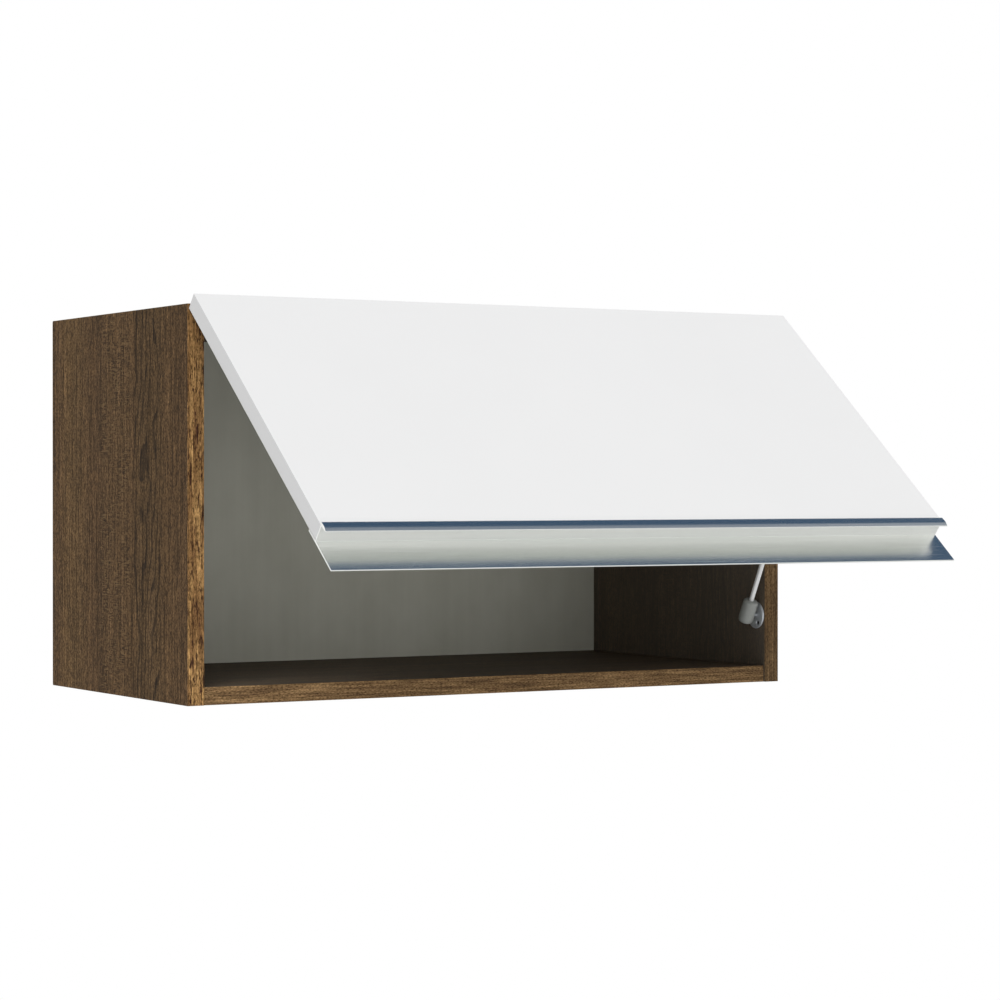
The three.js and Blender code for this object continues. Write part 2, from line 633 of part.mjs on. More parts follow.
function doorBuffer(side) {
    const seat = point(side * (WIDTH - BOARD) / 2, DOOR_BACK + CLEARANCE, DOOR_BOTTOM + BUFFER_FROM_EDGE);
    const profile = [
        [0, 0], [BUFFER_RADIUS, 0], [BUFFER_RADIUS, BUFFER_HEIGHT / 2],
        [BUFFER_CROWN_RADIUS, BUFFER_HEIGHT], [0, BUFFER_HEIGHT],
    ];
    return turned(profile, seat, Y_AXIS, ROUND);
}

// A foot on the door and an ear that stands out behind it, beside the strut's upper socket.
function strutDoorBracket() {
    const earBack = DOOR_BACK + EAR_DEPTH;
    const foot = block(
        EAR_X - BRACKET_FOOT, EAR_FACE_X, BRACKET_BACK, BRACKET_BACK + BRACKET_SHEET, EAR_BOTTOM, EAR_TOP);
    const ear = alongX(outline([
        [BRACKET_BACK, EAR_BOTTOM], [earBack - EAR_CORNER, EAR_BOTTOM],
        [earBack, EAR_BOTTOM + EAR_CORNER / 2], [earBack, EAR_TOP - EAR_CORNER],
        [earBack - EAR_CORNER, EAR_TOP], [BRACKET_BACK, EAR_TOP],
    ]), EAR_X, EAR_FACE_X);
    const into = Y_AXIS.clone().negate();
    return cut(join([foot, ear]), doorBracketSeats().map((seat) => screwHole(seat, into, SCREW_BITE)));
}

function buildDoor(group) {
    addPiece(group, 'door_panel', doorPanel(), 'lacquer');
    addPiece(group, 'handle_profile', alongX(handleSection(), -DOOR_HALF, DOOR_HALF), 'aluminium');
    SIDES.forEach(([word, side], index) => {
        buildHingeOnDoor(group, word, HINGE_CENTRES[index]);
        addPiece(group, `door_buffer_${word}`, doorBuffer(side), 'clearPlastic');
    });
    addPiece(group, 'strut_door_bracket', strutDoorBracket(), 'steel');
    doorBracketSeats().forEach((seat, index) => {
        seat.y += CLEARANCE;
        const piece = screw(seat, Y_AXIS.clone().negate(), SCREW_BITE);
        addPiece(group, `strut_door_bracket_screw_${index + 1}`, piece, 'steel');
    });
}

// ---------------------------------------------------------------- gas strut

// In the strut's own frame the origin is the lower ball's centre and +Z runs up the rod.
const LOWER_SOCKET_END = SOCKET_ABOVE_BALL;
const TUBE_START = LOWER_SOCKET_END + ROD_BUMP_GAP + STRUT_STROKE;
const UPPER_SOCKET_START = STRUT_LENGTH - SOCKET_ABOVE_BALL;
const TUBE_FINISH = UPPER_SOCKET_START - CLEARANCE;
const PISTON_START = TUBE_START + CLEARANCE + ROD_GUIDE_LENGTH + PISTON_GAP;
const ROD_START = LOWER_SOCKET_END - SOCKET_BORE_DEPTH + CLEARANCE;
const TUBE_BORE = STRUT_TUBE_RADIUS - STRUT_TUBE_WALL;

function strutPlate() {
    const face = plateCentre();
    const profile = [
        [0, 0], [PLATE_RADIUS - PLATE_THICKNESS / 2, 0], [PLATE_RADIUS, PLATE_THICKNESS / 2],
        [PLATE_RADIUS, PLATE_THICKNESS], [0, PLATE_THICKNESS],
    ];
    const plate = turned(profile, face, X_AXIS);
    const holes = plateScrewSeats().map((seat) => {
        const start = seat.clone().setX(face.x - OVERRUN);
        return bar(start, X_AXIS, PLATE_THICKNESS + 2 * OVERRUN, PLATE_HOLE_RADIUS);
    });
    return cut(plate, holes);
}

// A ball on a neck. The ball's centre is at the local origin of the direction given.
function ballStud(centre, direction, neckLength, flangeRadius, flangeThickness) {
    const steps = 8;
    const neckAngle = Math.asin(STRUT_NECK_RADIUS / STRUT_BALL_RADIUS);
    const profile = [[0, -STRUT_BALL_RADIUS]];
    for (let step = 1; step <= steps; step += 1) {
        const angle = (Math.PI - neckAngle) * step / steps;
        profile.push([STRUT_BALL_RADIUS * Math.sin(angle), -STRUT_BALL_RADIUS * Math.cos(angle)]);
    }
    profile.push([STRUT_NECK_RADIUS, neckLength - flangeThickness]);
    if (flangeThickness > 0) {
        profile.push([flangeRadius, neckLength - flangeThickness], [flangeRadius, neckLength]);
    }
    profile.push([0, neckLength]);
    return turned(profile, centre, direction);
}

// The moulded end that snaps over a ball: round ends, a pocket with a narrower mouth at
// one side, and a bore at the other end. "away" is the way its bore opens.
function socket(ball, away, mouthDirection, boreRadius) {
    const arc = (centre, from) => [0, 1, 2, 3].map((step) => {
        const angle = from + step * Math.PI / 6;
        return [
            SOCKET_RADIUS - SOCKET_ROUNDING + SOCKET_ROUNDING * Math.cos(angle),
            centre + SOCKET_ROUNDING * Math.sin(angle),
        ];
    });
    const profile = [
        [0, -SOCKET_BELOW_BALL],
        ...arc(SOCKET_ROUNDING - SOCKET_BELOW_BALL, -Math.PI / 2),
        ...arc(SOCKET_ABOVE_BALL - SOCKET_ROUNDING, 0),
        [0, SOCKET_ABOVE_BALL],
    ];
    const direction = Z_AXIS.clone().multiplyScalar(away);
    const pocket = new THREE.SphereGeometry(STRUT_BALL_RADIUS + CLEARANCE, ROUND, FINE_ROUND);
    pocket.translate(ball.x, ball.y, ball.z);
    const boreStart = ball.clone().addScaledVector(direction, SOCKET_ABOVE_BALL - SOCKET_BORE_DEPTH);
    return cut(turned(profile, ball, direction), [
        pocket,
        bar(ball, mouthDirection, SOCKET_RADIUS + OVERRUN, STRUT_MOUTH_RADIUS, ROUND),
        bar(boreStart, direction, SOCKET_BORE_DEPTH + OVERRUN, boreRadius + CLEARANCE),
    ]);
}

// The tube is closed by its end and by the stub that screws into the upper socket.
function strutTube() {
    const stubEnd = TUBE_FINISH + SOCKET_BORE_DEPTH - CLEARANCE;
    const profile = [
        [TUBE_BORE, TUBE_START], [STRUT_TUBE_RADIUS - SMALL_CHAMFER, TUBE_START],
        [STRUT_TUBE_RADIUS, TUBE_START + SMALL_CHAMFER], [STRUT_TUBE_RADIUS, TUBE_FINISH - CHAMFER],
        [STRUT_TUBE_RADIUS - CHAMFER, TUBE_FINISH],
        [SOCKET_STUB_RADIUS, TUBE_FINISH], [SOCKET_STUB_RADIUS, stubEnd], [0, stubEnd],
        [0, TUBE_FINISH - STRUT_TUBE_END], [TUBE_BORE, TUBE_FINISH - STRUT_TUBE_END],
        [TUBE_BORE, TUBE_START],
    ];
    return turned(profile, point(0, 0, 0), Z_AXIS);
}

function rodGuide() {
    const outer = TUBE_BORE - CLEARANCE;
    const inner = STRUT_ROD_RADIUS + CLEARANCE;
    const start = TUBE_START + CLEARANCE;
    const end = start + ROD_GUIDE_LENGTH;
    const profile = [[inner, start], [outer, start], [outer, end], [inner, end], [inner, start]];
    return turned(profile, point(0, 0, 0), Z_AXIS);
}

function piston() {
    const radius = TUBE_BORE - CLEARANCE;
    const end = PISTON_START + PISTON_LENGTH;
    const groove = PISTON_START + PISTON_LENGTH / 2;
    const profile = [
        [0, PISTON_START], [radius, PISTON_START], [radius, groove - PISTON_GROOVE],
        [radius - PISTON_GROOVE, groove - PISTON_GROOVE], [radius - PISTON_GROOVE, groove + PISTON_GROOVE],
        [radius, groove + PISTON_GROOVE], [radius, end], [0, end],
    ];
    return turned(profile, point(0, 0, 0), Z_AXIS);
}

function rod() {
    const length = PISTON_START - CLEARANCE - ROD_START;
    return bar(point(0, 0, ROD_START), Z_AXIS, length, STRUT_ROD_RADIUS, ROUND);
}

function buildStrutMounts(group) {
    const plate = plateCentre();
    addPiece(group, 'strut_plate', strutPlate(), 'zamak');
    const neckLength = plate.x - LOWER_BALL.x;
    addPiece(group, 'strut_lower_ball_stud', ballStud(LOWER_BALL, X_AXIS, neckLength, 0, 0), 'steel');
    plateScrewSeats().forEach((seat, index) => {
        const piece = bar(seat, X_AXIS, SCREW_BITE, SCREW_RADIUS);
        addPiece(group, `strut_plate_screw_${index + 1}`, piece, 'darkSteel');
    });
}

function buildStrut(group) {
    const ball = point(0, 0, 0);
    const upperBall = point(0, 0, STRUT_LENGTH);
    addPiece(group, 'strut_lower_socket', socket(ball, 1, X_AXIS, STRUT_ROD_RADIUS), 'greyPlastic');
    addPiece(group, 'strut_rod', rod(), 'tube');
    addPiece(group, 'strut_piston', piston(), 'greyPlastic');
    addPiece(group, 'strut_rod_guide', rodGuide(), 'greyPlastic');
    addPiece(group, 'strut_cylinder', strutTube(), 'tube');
    const inboard = X_AXIS.clone().negate();
    addPiece(group, 'strut_upper_socket', socket(upperBall, -1, inboard, SOCKET_STUB_RADIUS), 'greyPlastic');
    const neckLength = STRUT_X - EAR_FACE_X - CLEARANCE;
    const stud = ballStud(upperBall, inboard, neckLength, STUD_FLANGE_RADIUS, STUD_FLANGE);
    addPiece(group, 'strut_upper_ball_stud', stud, 'steel');
}

// ---------------------------------------------------------------- assembly

const cabinet = new THREE.Group();

const carcass = new THREE.Group();
buildCarcass(carcass);
SIDES.forEach(([word], index) => buildHingeOnCarcass(carcass, word, HINGE_CENTRES[index]));
buildStrutMounts(carcass);
cabinet.add(carcass);

const door = new THREE.Group();
door.position.copy(HINGE_CENTRE);
door.rotation.x = -OPEN_ANGLE;
buildDoor(door);
cabinet.add(door);

const strut = new THREE.Group();
strut.position.copy(LOWER_BALL);
strut.rotation.x = STRUT_LEAN;
buildStrut(strut);
cabinet.add(strut);

export default cabinet;
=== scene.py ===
import json
import math

import bmesh
import bpy
from mathutils import Matrix, Vector


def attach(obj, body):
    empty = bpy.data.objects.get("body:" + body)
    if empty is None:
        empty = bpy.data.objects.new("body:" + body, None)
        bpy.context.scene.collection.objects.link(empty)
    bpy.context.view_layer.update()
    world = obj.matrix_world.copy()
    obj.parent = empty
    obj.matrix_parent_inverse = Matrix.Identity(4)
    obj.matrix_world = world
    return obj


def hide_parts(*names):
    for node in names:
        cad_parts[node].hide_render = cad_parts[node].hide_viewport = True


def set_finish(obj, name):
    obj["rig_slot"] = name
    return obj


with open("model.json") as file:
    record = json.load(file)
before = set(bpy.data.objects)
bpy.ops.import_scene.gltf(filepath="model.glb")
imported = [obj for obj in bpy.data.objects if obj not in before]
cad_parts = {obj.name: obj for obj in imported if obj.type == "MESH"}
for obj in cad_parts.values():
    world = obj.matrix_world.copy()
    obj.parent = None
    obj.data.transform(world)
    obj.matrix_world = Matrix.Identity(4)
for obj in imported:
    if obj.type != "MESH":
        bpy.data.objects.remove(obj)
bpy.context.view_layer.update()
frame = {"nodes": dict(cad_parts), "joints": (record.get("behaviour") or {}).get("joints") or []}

MM = 0.001
SCENE = bpy.context.scene
SCENE.view_settings.view_transform = "Standard"
X, Y, Z = 0, 1, 2


# ---------------------------------------------------------------- camera and light

CAMERA_PLACE = (-1.2851, -2.4627, 0.0148)
CAMERA_YAW = math.radians(30.682)
CAMERA_PITCH = math.radians(-0.261)
CAMERA_LENS = 103.33
CAMERA_SENSOR = 36
CAMERA_REACH = 50

KEY_TOWARDS = (-0.48, -0.55, 0.68)
KEY_STRENGTH = 2.05
KEY_ANGLE = math.radians(35)
FRONT_TOWARDS = (0.12, -0.98, -0.12)
FRONT_STRENGTH = 0.95
FRONT_ANGLE = math.radians(60)
FILL_STRENGTH = 0.3


def add_camera():
    data = bpy.data.cameras.new("camera")
    data.lens = CAMERA_LENS
    data.sensor_width = CAMERA_SENSOR
    data.clip_end = CAMERA_REACH
    camera = bpy.data.objects.new("camera", data)
    camera.location = CAMERA_PLACE
    camera.rotation_euler = (math.pi / 2 + CAMERA_PITCH, 0, -CAMERA_YAW)
    SCENE.collection.objects.link(camera)
    SCENE.camera = camera


def add_world():
    """White where it is seen or mirrored, and a soft fill everywhere else."""
    world = bpy.data.worlds.new("studio")
    world.use_nodes = True
    nodes, links = world.node_tree.nodes, world.node_tree.links
    path = nodes.new("ShaderNodeLightPath")
    seen = path.outputs["Is Camera Ray"]
    for kind in ("Is Glossy Ray", "Is Transmission Ray"):
        either = nodes.new("ShaderNodeMath")
        either.operation = "MAXIMUM"
        links.new(seen, either.inputs[0])
        links.new(path.outputs[kind], either.inputs[1])
        seen = either.outputs[0]
    level = nodes.new("ShaderNodeMapRange")
    level.inputs["To Min"].default_value = FILL_STRENGTH
    level.inputs["To Max"].default_value = 1.0
    links.new(seen, level.inputs["Value"])
    background = nodes["Background"]
    background.inputs["Color"].default_value = (1, 1, 1, 1)
    links.new(level.outputs[0], background.inputs["Strength"])
    SCENE.world = world


def add_sun(name, towards, strength, angle):
    """Soft light from far away, which leaves no highlights."""
    data = bpy.data.lights.new(name, "SUN")
    data.energy = strength
    data.angle = angle
    sun = bpy.data.objects.new(name, data)
    sun.rotation_euler = Vector(towards).to_track_quat("Z", "Y").to_euler()
    sun.visible_glossy = False
    SCENE.collection.objects.link(sun)


# ---------------------------------------------------------------- materials

def ink(red, green, blue):
    """A colour as it is written in an sRGB picture, 0 to 255, for a shader socket."""
    def linear(value):
        value /= 255
        return value / 12.92 if value <= 0.04045 else ((value + 0.055) / 1.055) ** 2.4
    return (linear(red), linear(green), linear(blue), 1.0)


def dimmed(color, share):
    """The colour with a share of its light, or more than all of it."""
    return tuple(level * share for level in color[:3]) + (1.0,)


def between(first, second, share):
    """The colour that lies a share of the way from the first to the second."""
    return tuple(a + (b - a) * share for a, b in zip(first, second))


class Look:
    """One procedural material. Its patterns lie in the piece's own frame, sized in millimetres."""

    def __init__(self, name, roughness, metallic=0.0, specular=0.5, grain=Z, shift=0.0):
        self.material = bpy.data.materials.new(name)
        self.material.use_nodes = True
        self.nodes = self.material.node_tree.nodes
        self.links = self.material.node_tree.links
        self.shader = self.nodes["Principled BSDF"]
        self.shader.inputs["Roughness"].default_value = roughness
        self.shader.inputs["Metallic"].default_value = metallic
        self.shader.inputs["Specular IOR Level"].default_value = specular
        self.place = self.nodes.new("ShaderNodeTexCoord").outputs["Object"]
        self.grain = grain
        self.shift = shift

    def plug(self, value, socket):
        if isinstance(value, bpy.types.NodeSocket):
            self.links.new(value, socket)
        else:
            socket.default_value = value

    def node(self, kind, inputs=None, **settings):
        made = self.nodes.new("ShaderNode" + kind)
        for key, value in settings.items():
            setattr(made, key, value)
        for key, value in (inputs or {}).items():
            self.plug(value, made.inputs[key])
        return made

    def math(self, operation, first, second=0.0, clamp=False):
        inputs = {0: first, 1: second}
        return self.node("Math", inputs, operation=operation, use_clamp=clamp).outputs[0]

    def mix(self, factor, first, second, blend="MIX"):
        """Two colours mixed. The node's colours are its inputs 6 and 7 and its output 2."""
        made = self.node("Mix", data_type="RGBA", blend_type=blend)
        self.plug(factor, made.inputs[0])
        self.plug(first, made.inputs[6])
        self.plug(second, made.inputs[7])
        return made.outputs[2]

    def ramp(self, value, stops):
        """Colours, or plain levels, at places along 0 to 1."""
        made = self.node("ValToRGB", {0: value})
        line = made.color_ramp
        line.elements.remove(line.elements[1])
        for index, (place, color) in enumerate(stops):
            element = line.elements[0] if index == 0 else line.elements.new(place)
            element.position = place
            element.color = color if isinstance(color, tuple) else (color, color, color, 1.0)
        return made.outputs[0]

    def shaded(self, base, pattern, stops, factor=1.0):
        """The base, darker where the pattern is low and lighter where it is high."""
        return self.mix(factor, base, self.ramp(pattern, stops), "MULTIPLY")

    def axis(self, axis):
        """The place along one axis, in millimetres."""
        parts = self.node("SeparateXYZ", {0: self.place})
        return self.math("MULTIPLY", parts.outputs[axis], 1 / MM)

    def stretched(self, across, along):
        """The place in units of a feature that is so wide and so long, in millimetres."""
        scale = [1 / (across * MM)] * 3
        scale[self.grain] = 1 / (along * MM)
        inputs = {"Vector": self.place, "Scale": scale, "Location": [self.shift] * 3}
        return self.node("Mapping", inputs).outputs[0]

    def noise(self, across, along=None, detail=2.0, roughness=0.5, distortion=0.0):
        inputs = {
            "Vector": self.stretched(across, along or across), "Scale": 1.0,
            "Detail": detail, "Roughness": roughness, "Distortion": distortion,
        }
        return self.node("TexNoise", inputs).outputs[0]

    def tone(self, level, spread, across=40.0):
        """An almost even grey that drifts a little."""
        low, high = level - spread, level + spread
        return self.ramp(self.noise(across), [(0.3, low), (0.7, high)])

    def tinted(self, color, spread, across):
        """A colour that drifts a little lighter and darker."""
        low, high = dimmed(color, 1 - spread), dimmed(color, 1 + spread)
        return self.ramp(self.noise(across, detail=3.0), [(0.3, low), (0.7, high)])

    def color(self, value):
        self.plug(value, self.shader.inputs["Base Color"])

    def rough(self, value, low, high):
        """Roughness that follows a pattern."""
        made = self.node("MapRange", {"Value": value, "To Min": low, "To Max": high})
        self.plug(made.outputs[0], self.shader.inputs["Roughness"])

    def bump(self, height, depth, strength):
        """Relief of a depth in millimetres."""
        inputs = {"Height": height, "Distance": depth * MM, "Strength": strength}
        self.plug(self.node("Bump", inputs).outputs[0], self.shader.inputs["Normal"])


# Depth of the boards, from the back panel to their front edges.
OAK_DEPTH = 295.0
# The greyish tone that veils the faces inside the cabinet, where it is painted light for the dim,
# cool light in there; the outer top and bottom get a touch of it.
OAK_PALE = (112, 106, 97)


def oak_face(name, grain=Z, shift=0.0, mirror=False, pale=0.0, shade=1.0):
    """Printed sawn oak: soft bands, fine grain lines, short fibres, year rings and saw marks.

    The pattern runs on over the depth of the cabinet. A pale one is veiled with dull brown, which a
    shade can dim; inside the cabinet this veil is painted light and shade.
    """
    look = Look(name, roughness=0.6, specular=0.04, grain=grain, shift=shift)
    depth = look.math("MULTIPLY", look.axis(Y), -1.0)
    if mirror:
        depth = look.math("SUBTRACT", OAK_DEPTH, depth)
    waver = look.math("MULTIPLY", look.math("SUBTRACT", look.noise(60, 300), 0.5), 10.0)
    band = look.math("DIVIDE", look.math("ADD", depth, waver), OAK_DEPTH)
    base = look.ramp(band, [
        (0.00, ink(80, 61, 40)), (0.05, ink(93, 71, 48)), (0.12, ink(103, 80, 53)),
        (0.20, ink(99, 77, 51)), (0.33, ink(93, 71, 48)), (0.39, ink(84, 64, 43)),
        (0.43, ink(96, 74, 50)), (0.63, ink(95, 73, 49)), (0.67, ink(89, 69, 46)),
        (0.80, ink(90, 70, 47)), (0.86, ink(95, 73, 49)), (1.00, ink(90, 69, 47)),
    ])
    fibre = look.noise(1.4, 7, detail=4, roughness=0.75)
    line = look.noise(1.3, 70)
    streak = look.noise(4.0, 200)
    dots = look.noise(0.9, 2.0, detail=1)
    patterns = ((fibre, 0.2, 1.95), (line, 0.42, 1.5), (streak, 0.8, 1.2), (dots, 0.3, 1.65))
    for pattern, low, high in patterns:
        base = look.shaded(base, pattern, [(0.28, low), (0.50, 1.0), (0.72, high)])
    tinted = saw_marks(look, rings(look, base, depth, band), band)
    # On the faces inside the cabinet this veil is painted light: paler, greyer wood in place of the
    # dim, cool light in there. Dimmed by the shade, on the shelves it is painted shade.
    if pale:
        tinted = look.mix(pale, tinted, dimmed(ink(*OAK_PALE), shade))
    look.color(tinted)
    look.rough(streak, 0.66, 0.52)
    look.bump(fibre, 0.05, 0.5)
    return look.material


def rings(look, tinted, depth, band):
    """Thin dark year rings that waver together, close in the cathedral part of the board."""
    bend = look.math("MULTIPLY", look.noise(70, 240, roughness=0.4), 90.0)
    sway = look.math("MULTIPLY", look.noise(34, 60), 26.0)
    count = look.math("DIVIDE", look.math("ADD", look.math("ADD", depth, bend), sway), 9.0)
    late = look.ramp(look.math("FRACT", count), [(0.0, 0.0), (0.07, 1.0), (0.22, 0.85), (0.38, 0.0)])
    broken = look.ramp(look.noise(1.6, 16, detail=3, roughness=0.7), [(0.42, 1.0), (0.62, 0.35)])
    where = look.ramp(band, [
        (0.05, 0.1), (0.30, 0.25), (0.40, 0.4), (0.42, 0.1), (0.62, 0.1), (0.64, 0.95),
        (0.80, 1.0), (0.85, 0.3), (1.0, 0.3)])
    strength = look.math("MULTIPLY", look.math("MULTIPLY", late, broken), where)
    return look.mix(strength, tinted, ink(25, 18, 12))


def saw_marks(look, tinted, band):
    """Short dark and light dashes across the grain, in patches between the rings."""
    where = look.ramp(band, [
        (0.12, 0.0), (0.18, 0.35), (0.30, 0.15), (0.37, 0.2), (0.41, 1.0), (0.60, 0.9), (0.63, 0.1)])
    patch = look.ramp(look.noise(20, 36), [(0.40, 0.2), (0.56, 1.0)])
    dashes = look.ramp(look.noise(10, 1.2), [(0.42, 1.0), (0.50, 0.0)])
    gaps = look.ramp(look.noise(1.6, 12, detail=1), [(0.42, 0.15), (0.55, 1.0)])
    dashes = look.math("MULTIPLY", dashes, gaps)
    light = look.ramp(look.noise(9, 1.6, detail=1), [(0.56, 0.0), (0.64, 0.5)])
    strength = look.math("MULTIPLY", where, patch)
    tinted = look.mix(look.math("MULTIPLY", strength, light), tinted, ink(134, 109, 76))
    return look.mix(look.math("MULTIPLY", strength, dashes), tinted, ink(44, 32, 22))


# Places along 0 to 1, each with its dull tone and its golden one.
EDGE_TONES = (
    (0.34, (101, 81, 58), (108, 79, 50)),
    (0.50, (113, 91, 65), (136, 103, 65)),
    (0.66, (126, 103, 75), (164, 128, 82)),
)


def oak_edge(name, grain=Z, shift=0.0, gold=1.0, shade=1.0):
    """Edge band cut from the same pattern: golden wood with thin dark veins and short flecks."""
    look = Look(name, roughness=0.55, specular=0.05, grain=grain, shift=shift)
    stops = []
    # A shade under 1 dims the band; on the right band that is painted shade from the door above it.
    for level, dull, golden in EDGE_TONES:
        stops.append((level, dimmed(between(ink(*dull), ink(*golden), gold), shade)))
    base = look.ramp(look.noise(4, 50), stops)
    vein = look.noise(2.0, 15, detail=3, roughness=0.65, distortion=0.7)
    veins = look.ramp(vein, [(0.40, 0.95 * gold), (0.46, 0.0)])
    tinted = look.mix(veins, base, ink(58, 37, 28))
    flecks = look.noise(0.8, 2.4, roughness=0.6)
    lines = look.noise(1.0, 40, detail=1)
    for pattern, low, high in ((flecks, 0.3, 1.6), (lines, 0.6, 1.35)):
        tinted = look.shaded(tinted, pattern, [(0.30, low), (0.50, 1.0), (0.70, high)])
    look.color(tinted)
    look.rough(flecks, 0.62, 0.5)
    look.bump(flecks, 0.04, 0.4)
    return look.material


def chipboard(name):
    """Raw edge of particle board: coarse chips in the middle, in tones of straw."""
    look = Look(name, roughness=0.85, specular=0.15)
    cells = look.node("TexVoronoi", {"Vector": look.stretched(1.8, 1.8), "Scale": 1.0})
    chips = look.node("SeparateColor", {0: cells.outputs["Color"]}).outputs[0]
    base = look.ramp(chips, [
        (0.0, ink(146, 120, 88)), (0.4, ink(180, 154, 117)), (0.8, ink(198, 174, 138)),
        (1.0, ink(112, 88, 62))])
    dust = look.noise(0.5, detail=3)
    look.color(look.shaded(base, dust, [(0.3, 0.8), (0.7, 1.15)], 0.6))
    look.bump(look.math("ADD", chips, dust), 0.1, 0.6)
    return look.material


# Y just behind the back panel's painted face, which lies at -3.
PAINTED_TO = -2.8


def hardboard(name):
    """Painted on the face towards the inside, and bare brown fibre at the rear and the edges."""
    look = Look(name, roughness=0.72, specular=0.2)
    fibre = look.noise(1.6, detail=5, roughness=0.75, distortion=0.8)
    rear = look.math("GREATER_THAN", look.axis(Y), PAINTED_TO)
    look.color(look.mix(rear, grey_paint(look), bare_fibre(look, fibre)))
    look.bump(look.math("MULTIPLY", fibre, look.math("ADD", rear, 0.12)), 0.12, 0.5)
    return look.material


def grey_paint(look):
    """Warm grey with faint upright streaks."""
    streak = look.noise(12, 300, detail=3, roughness=0.6)
    mottle = look.noise(45, 60, detail=3)
    streaked = look.ramp(streak, [(0.32, ink(208, 208, 194)), (0.68, ink(217, 217, 203))])
    mottled = look.ramp(mottle, [(0.35, ink(205, 205, 191)), (0.65, ink(218, 218, 205))])
    return look.mix(0.5, streaked, mottled)


def bare_fibre(look, fibre):
    """Pressed brown fibre, cloudy and blotched, with dark specks."""
    bare = look.ramp(fibre, [
        (0.30, ink(90, 64, 42)), (0.48, ink(134, 101, 69)), (0.60, ink(152, 118, 82)),
        (0.74, ink(184, 150, 110))])
    clouds = look.noise(55, detail=4, roughness=0.6)
    blots = look.noise(6, detail=3, roughness=0.65, distortion=1.0)
    for pattern, low, high in ((clouds, 0.8, 1.15), (blots, 0.78, 1.2)):
        bare = look.shaded(bare, pattern, [(0.35, low), (0.65, high)])
    specks = look.ramp(look.noise(2.6, 3.4, detail=1), [(0.64, 0.0), (0.68, 0.8)])
    return look.mix(specks, bare, ink(70, 46, 30))


def white_board(name):
    """Melamine-faced door board: white, with a faint orange-peel relief."""
    look = Look(name, roughness=0.5, specular=0.15)
    look.color(look.tone(0.845, 0.004, 120.0))
    look.rough(look.noise(30), 0.46, 0.54)
    look.bump(look.noise(0.9), 0.008, 0.4)
    return look.material


def plain_metal(name, color, roughness, spread=0.08, metallic=1.0):
    """Metal, or a painted one where it is less metallic, with a fine drawn grain."""
    look = Look(name, roughness=roughness, metallic=metallic)
    look.color(look.tinted(color, spread, 6.0))
    grain = look.noise(0.5, 4, detail=3)
    look.rough(grain, roughness - 0.06, roughness + 0.08)
    look.bump(grain, 0.01, 0.3)
    return look.material


def plastic(name, color, roughness):
    """Moulded plastic with a fine spark-eroded grain."""
    look = Look(name, roughness=roughness)
    look.color(look.tinted(color, 0.05, 5.0))
    grain = look.noise(0.25)
    look.rough(grain, roughness - 0.06, roughness + 0.08)
    look.bump(grain, 0.015, 0.5)
    return look.material


def anodised(name, roughness, level):
    """Anodised aluminium, brushed along the profile."""
    look = Look(name, roughness=roughness, metallic=1.0, grain=X)
    brushed = look.noise(0.35, 160, detail=3, roughness=0.6)
    low = ink(level - 5, level - 3, level - 6)
    high = ink(level, level + 1, level - 2)
    base = look.ramp(look.noise(6, 300), [(0.3, low), (0.7, high)])
    look.color(look.shaded(base, brushed, [(0.3, 0.95), (0.7, 1.0)], 0.5))
    look.rough(brushed, roughness - 0.04, roughness + 0.04)
    look.bump(brushed, 0.004, 0.3)
    return look.material


def beech(name):
    """Pale dowel wood with short dark rays."""
    look = Look(name, roughness=0.7, specular=0.2, grain=X)
    fibre = look.noise(1.2, 20, detail=3)
    base = look.ramp(fibre, [(0.3, ink(186, 150, 104)), (0.7, ink(212, 180, 132))])
    rays = look.ramp(look.noise(0.4, 2.5, detail=1), [(0.62, 0.0), (0.7, 0.5)])
    look.color(look.mix(rays, base, ink(150, 112, 72)))
    look.bump(rays, 0.03, 0.4)
    return look.material


RECIPES = {
    "oak_left": (oak_face, {}),
    "oak_right": (oak_face, {"shift": 17.3, "mirror": True}),
    # Inner side faces, veiled paler and greyer: painted light for the dim, cool light inside.
    "oak_inner": (oak_face, {"shift": 26.9, "pale": 0.66}),
    "oak_top": (oak_face, {"grain": X, "shift": 31.7, "pale": 0.1}),
    "oak_bottom": (oak_face, {"grain": X, "shift": 43.1, "pale": 0.1}),
    # Inner faces of the top and bottom, veiled greyer and dimmed: painted shade.
    "oak_shelf": (oak_face, {"grain": X, "shift": 51.3, "pale": 0.6, "shade": 0.55}),
    "edge_left": (oak_edge, {}),
    # The right band, dimmed and duller than the left: painted shade from the door above it.
    "edge_right": (oak_edge, {"shift": 5.3, "gold": 0.15, "shade": 0.82}),
    "edge_top": (oak_edge, {"grain": X, "shift": 12.9, "gold": 0.3}),
    "edge_bottom": (oak_edge, {"grain": X, "shift": 9.1, "gold": 0.3}),
    "chipboard": (chipboard, {}),
    "hardboard": (hardboard, {}),
    "white_board": (white_board, {}),
    "anodised_aluminium": (anodised, {"roughness": 0.26, "level": 245}),
    "satin_aluminium": (anodised, {"roughness": 0.55, "level": 239}),
    "steel": (plain_metal, {"color": ink(196, 198, 200), "roughness": 0.3}),
    "dark_steel": (plain_metal, {"color": ink(44, 44, 46), "roughness": 0.45, "metallic": 0.4}),
    "cast_zinc": (plain_metal, {"color": ink(202, 206, 211), "roughness": 0.32, "metallic": 0.5}),
    "rod_steel": (plain_metal, {
        "color": ink(241, 242, 241), "roughness": 0.32, "spread": 0.02, "metallic": 0.3}),
    "strut_tube": (plain_metal, {
        "color": ink(206, 207, 208), "roughness": 0.4, "spread": 0.04, "metallic": 0.0}),
    "grey_plastic": (plastic, {"color": ink(148, 151, 147), "roughness": 0.26}),
    "clear_plastic": (plastic, {"color": ink(218, 220, 216), "roughness": 0.3}),
    "beech": (beech, {}),
}
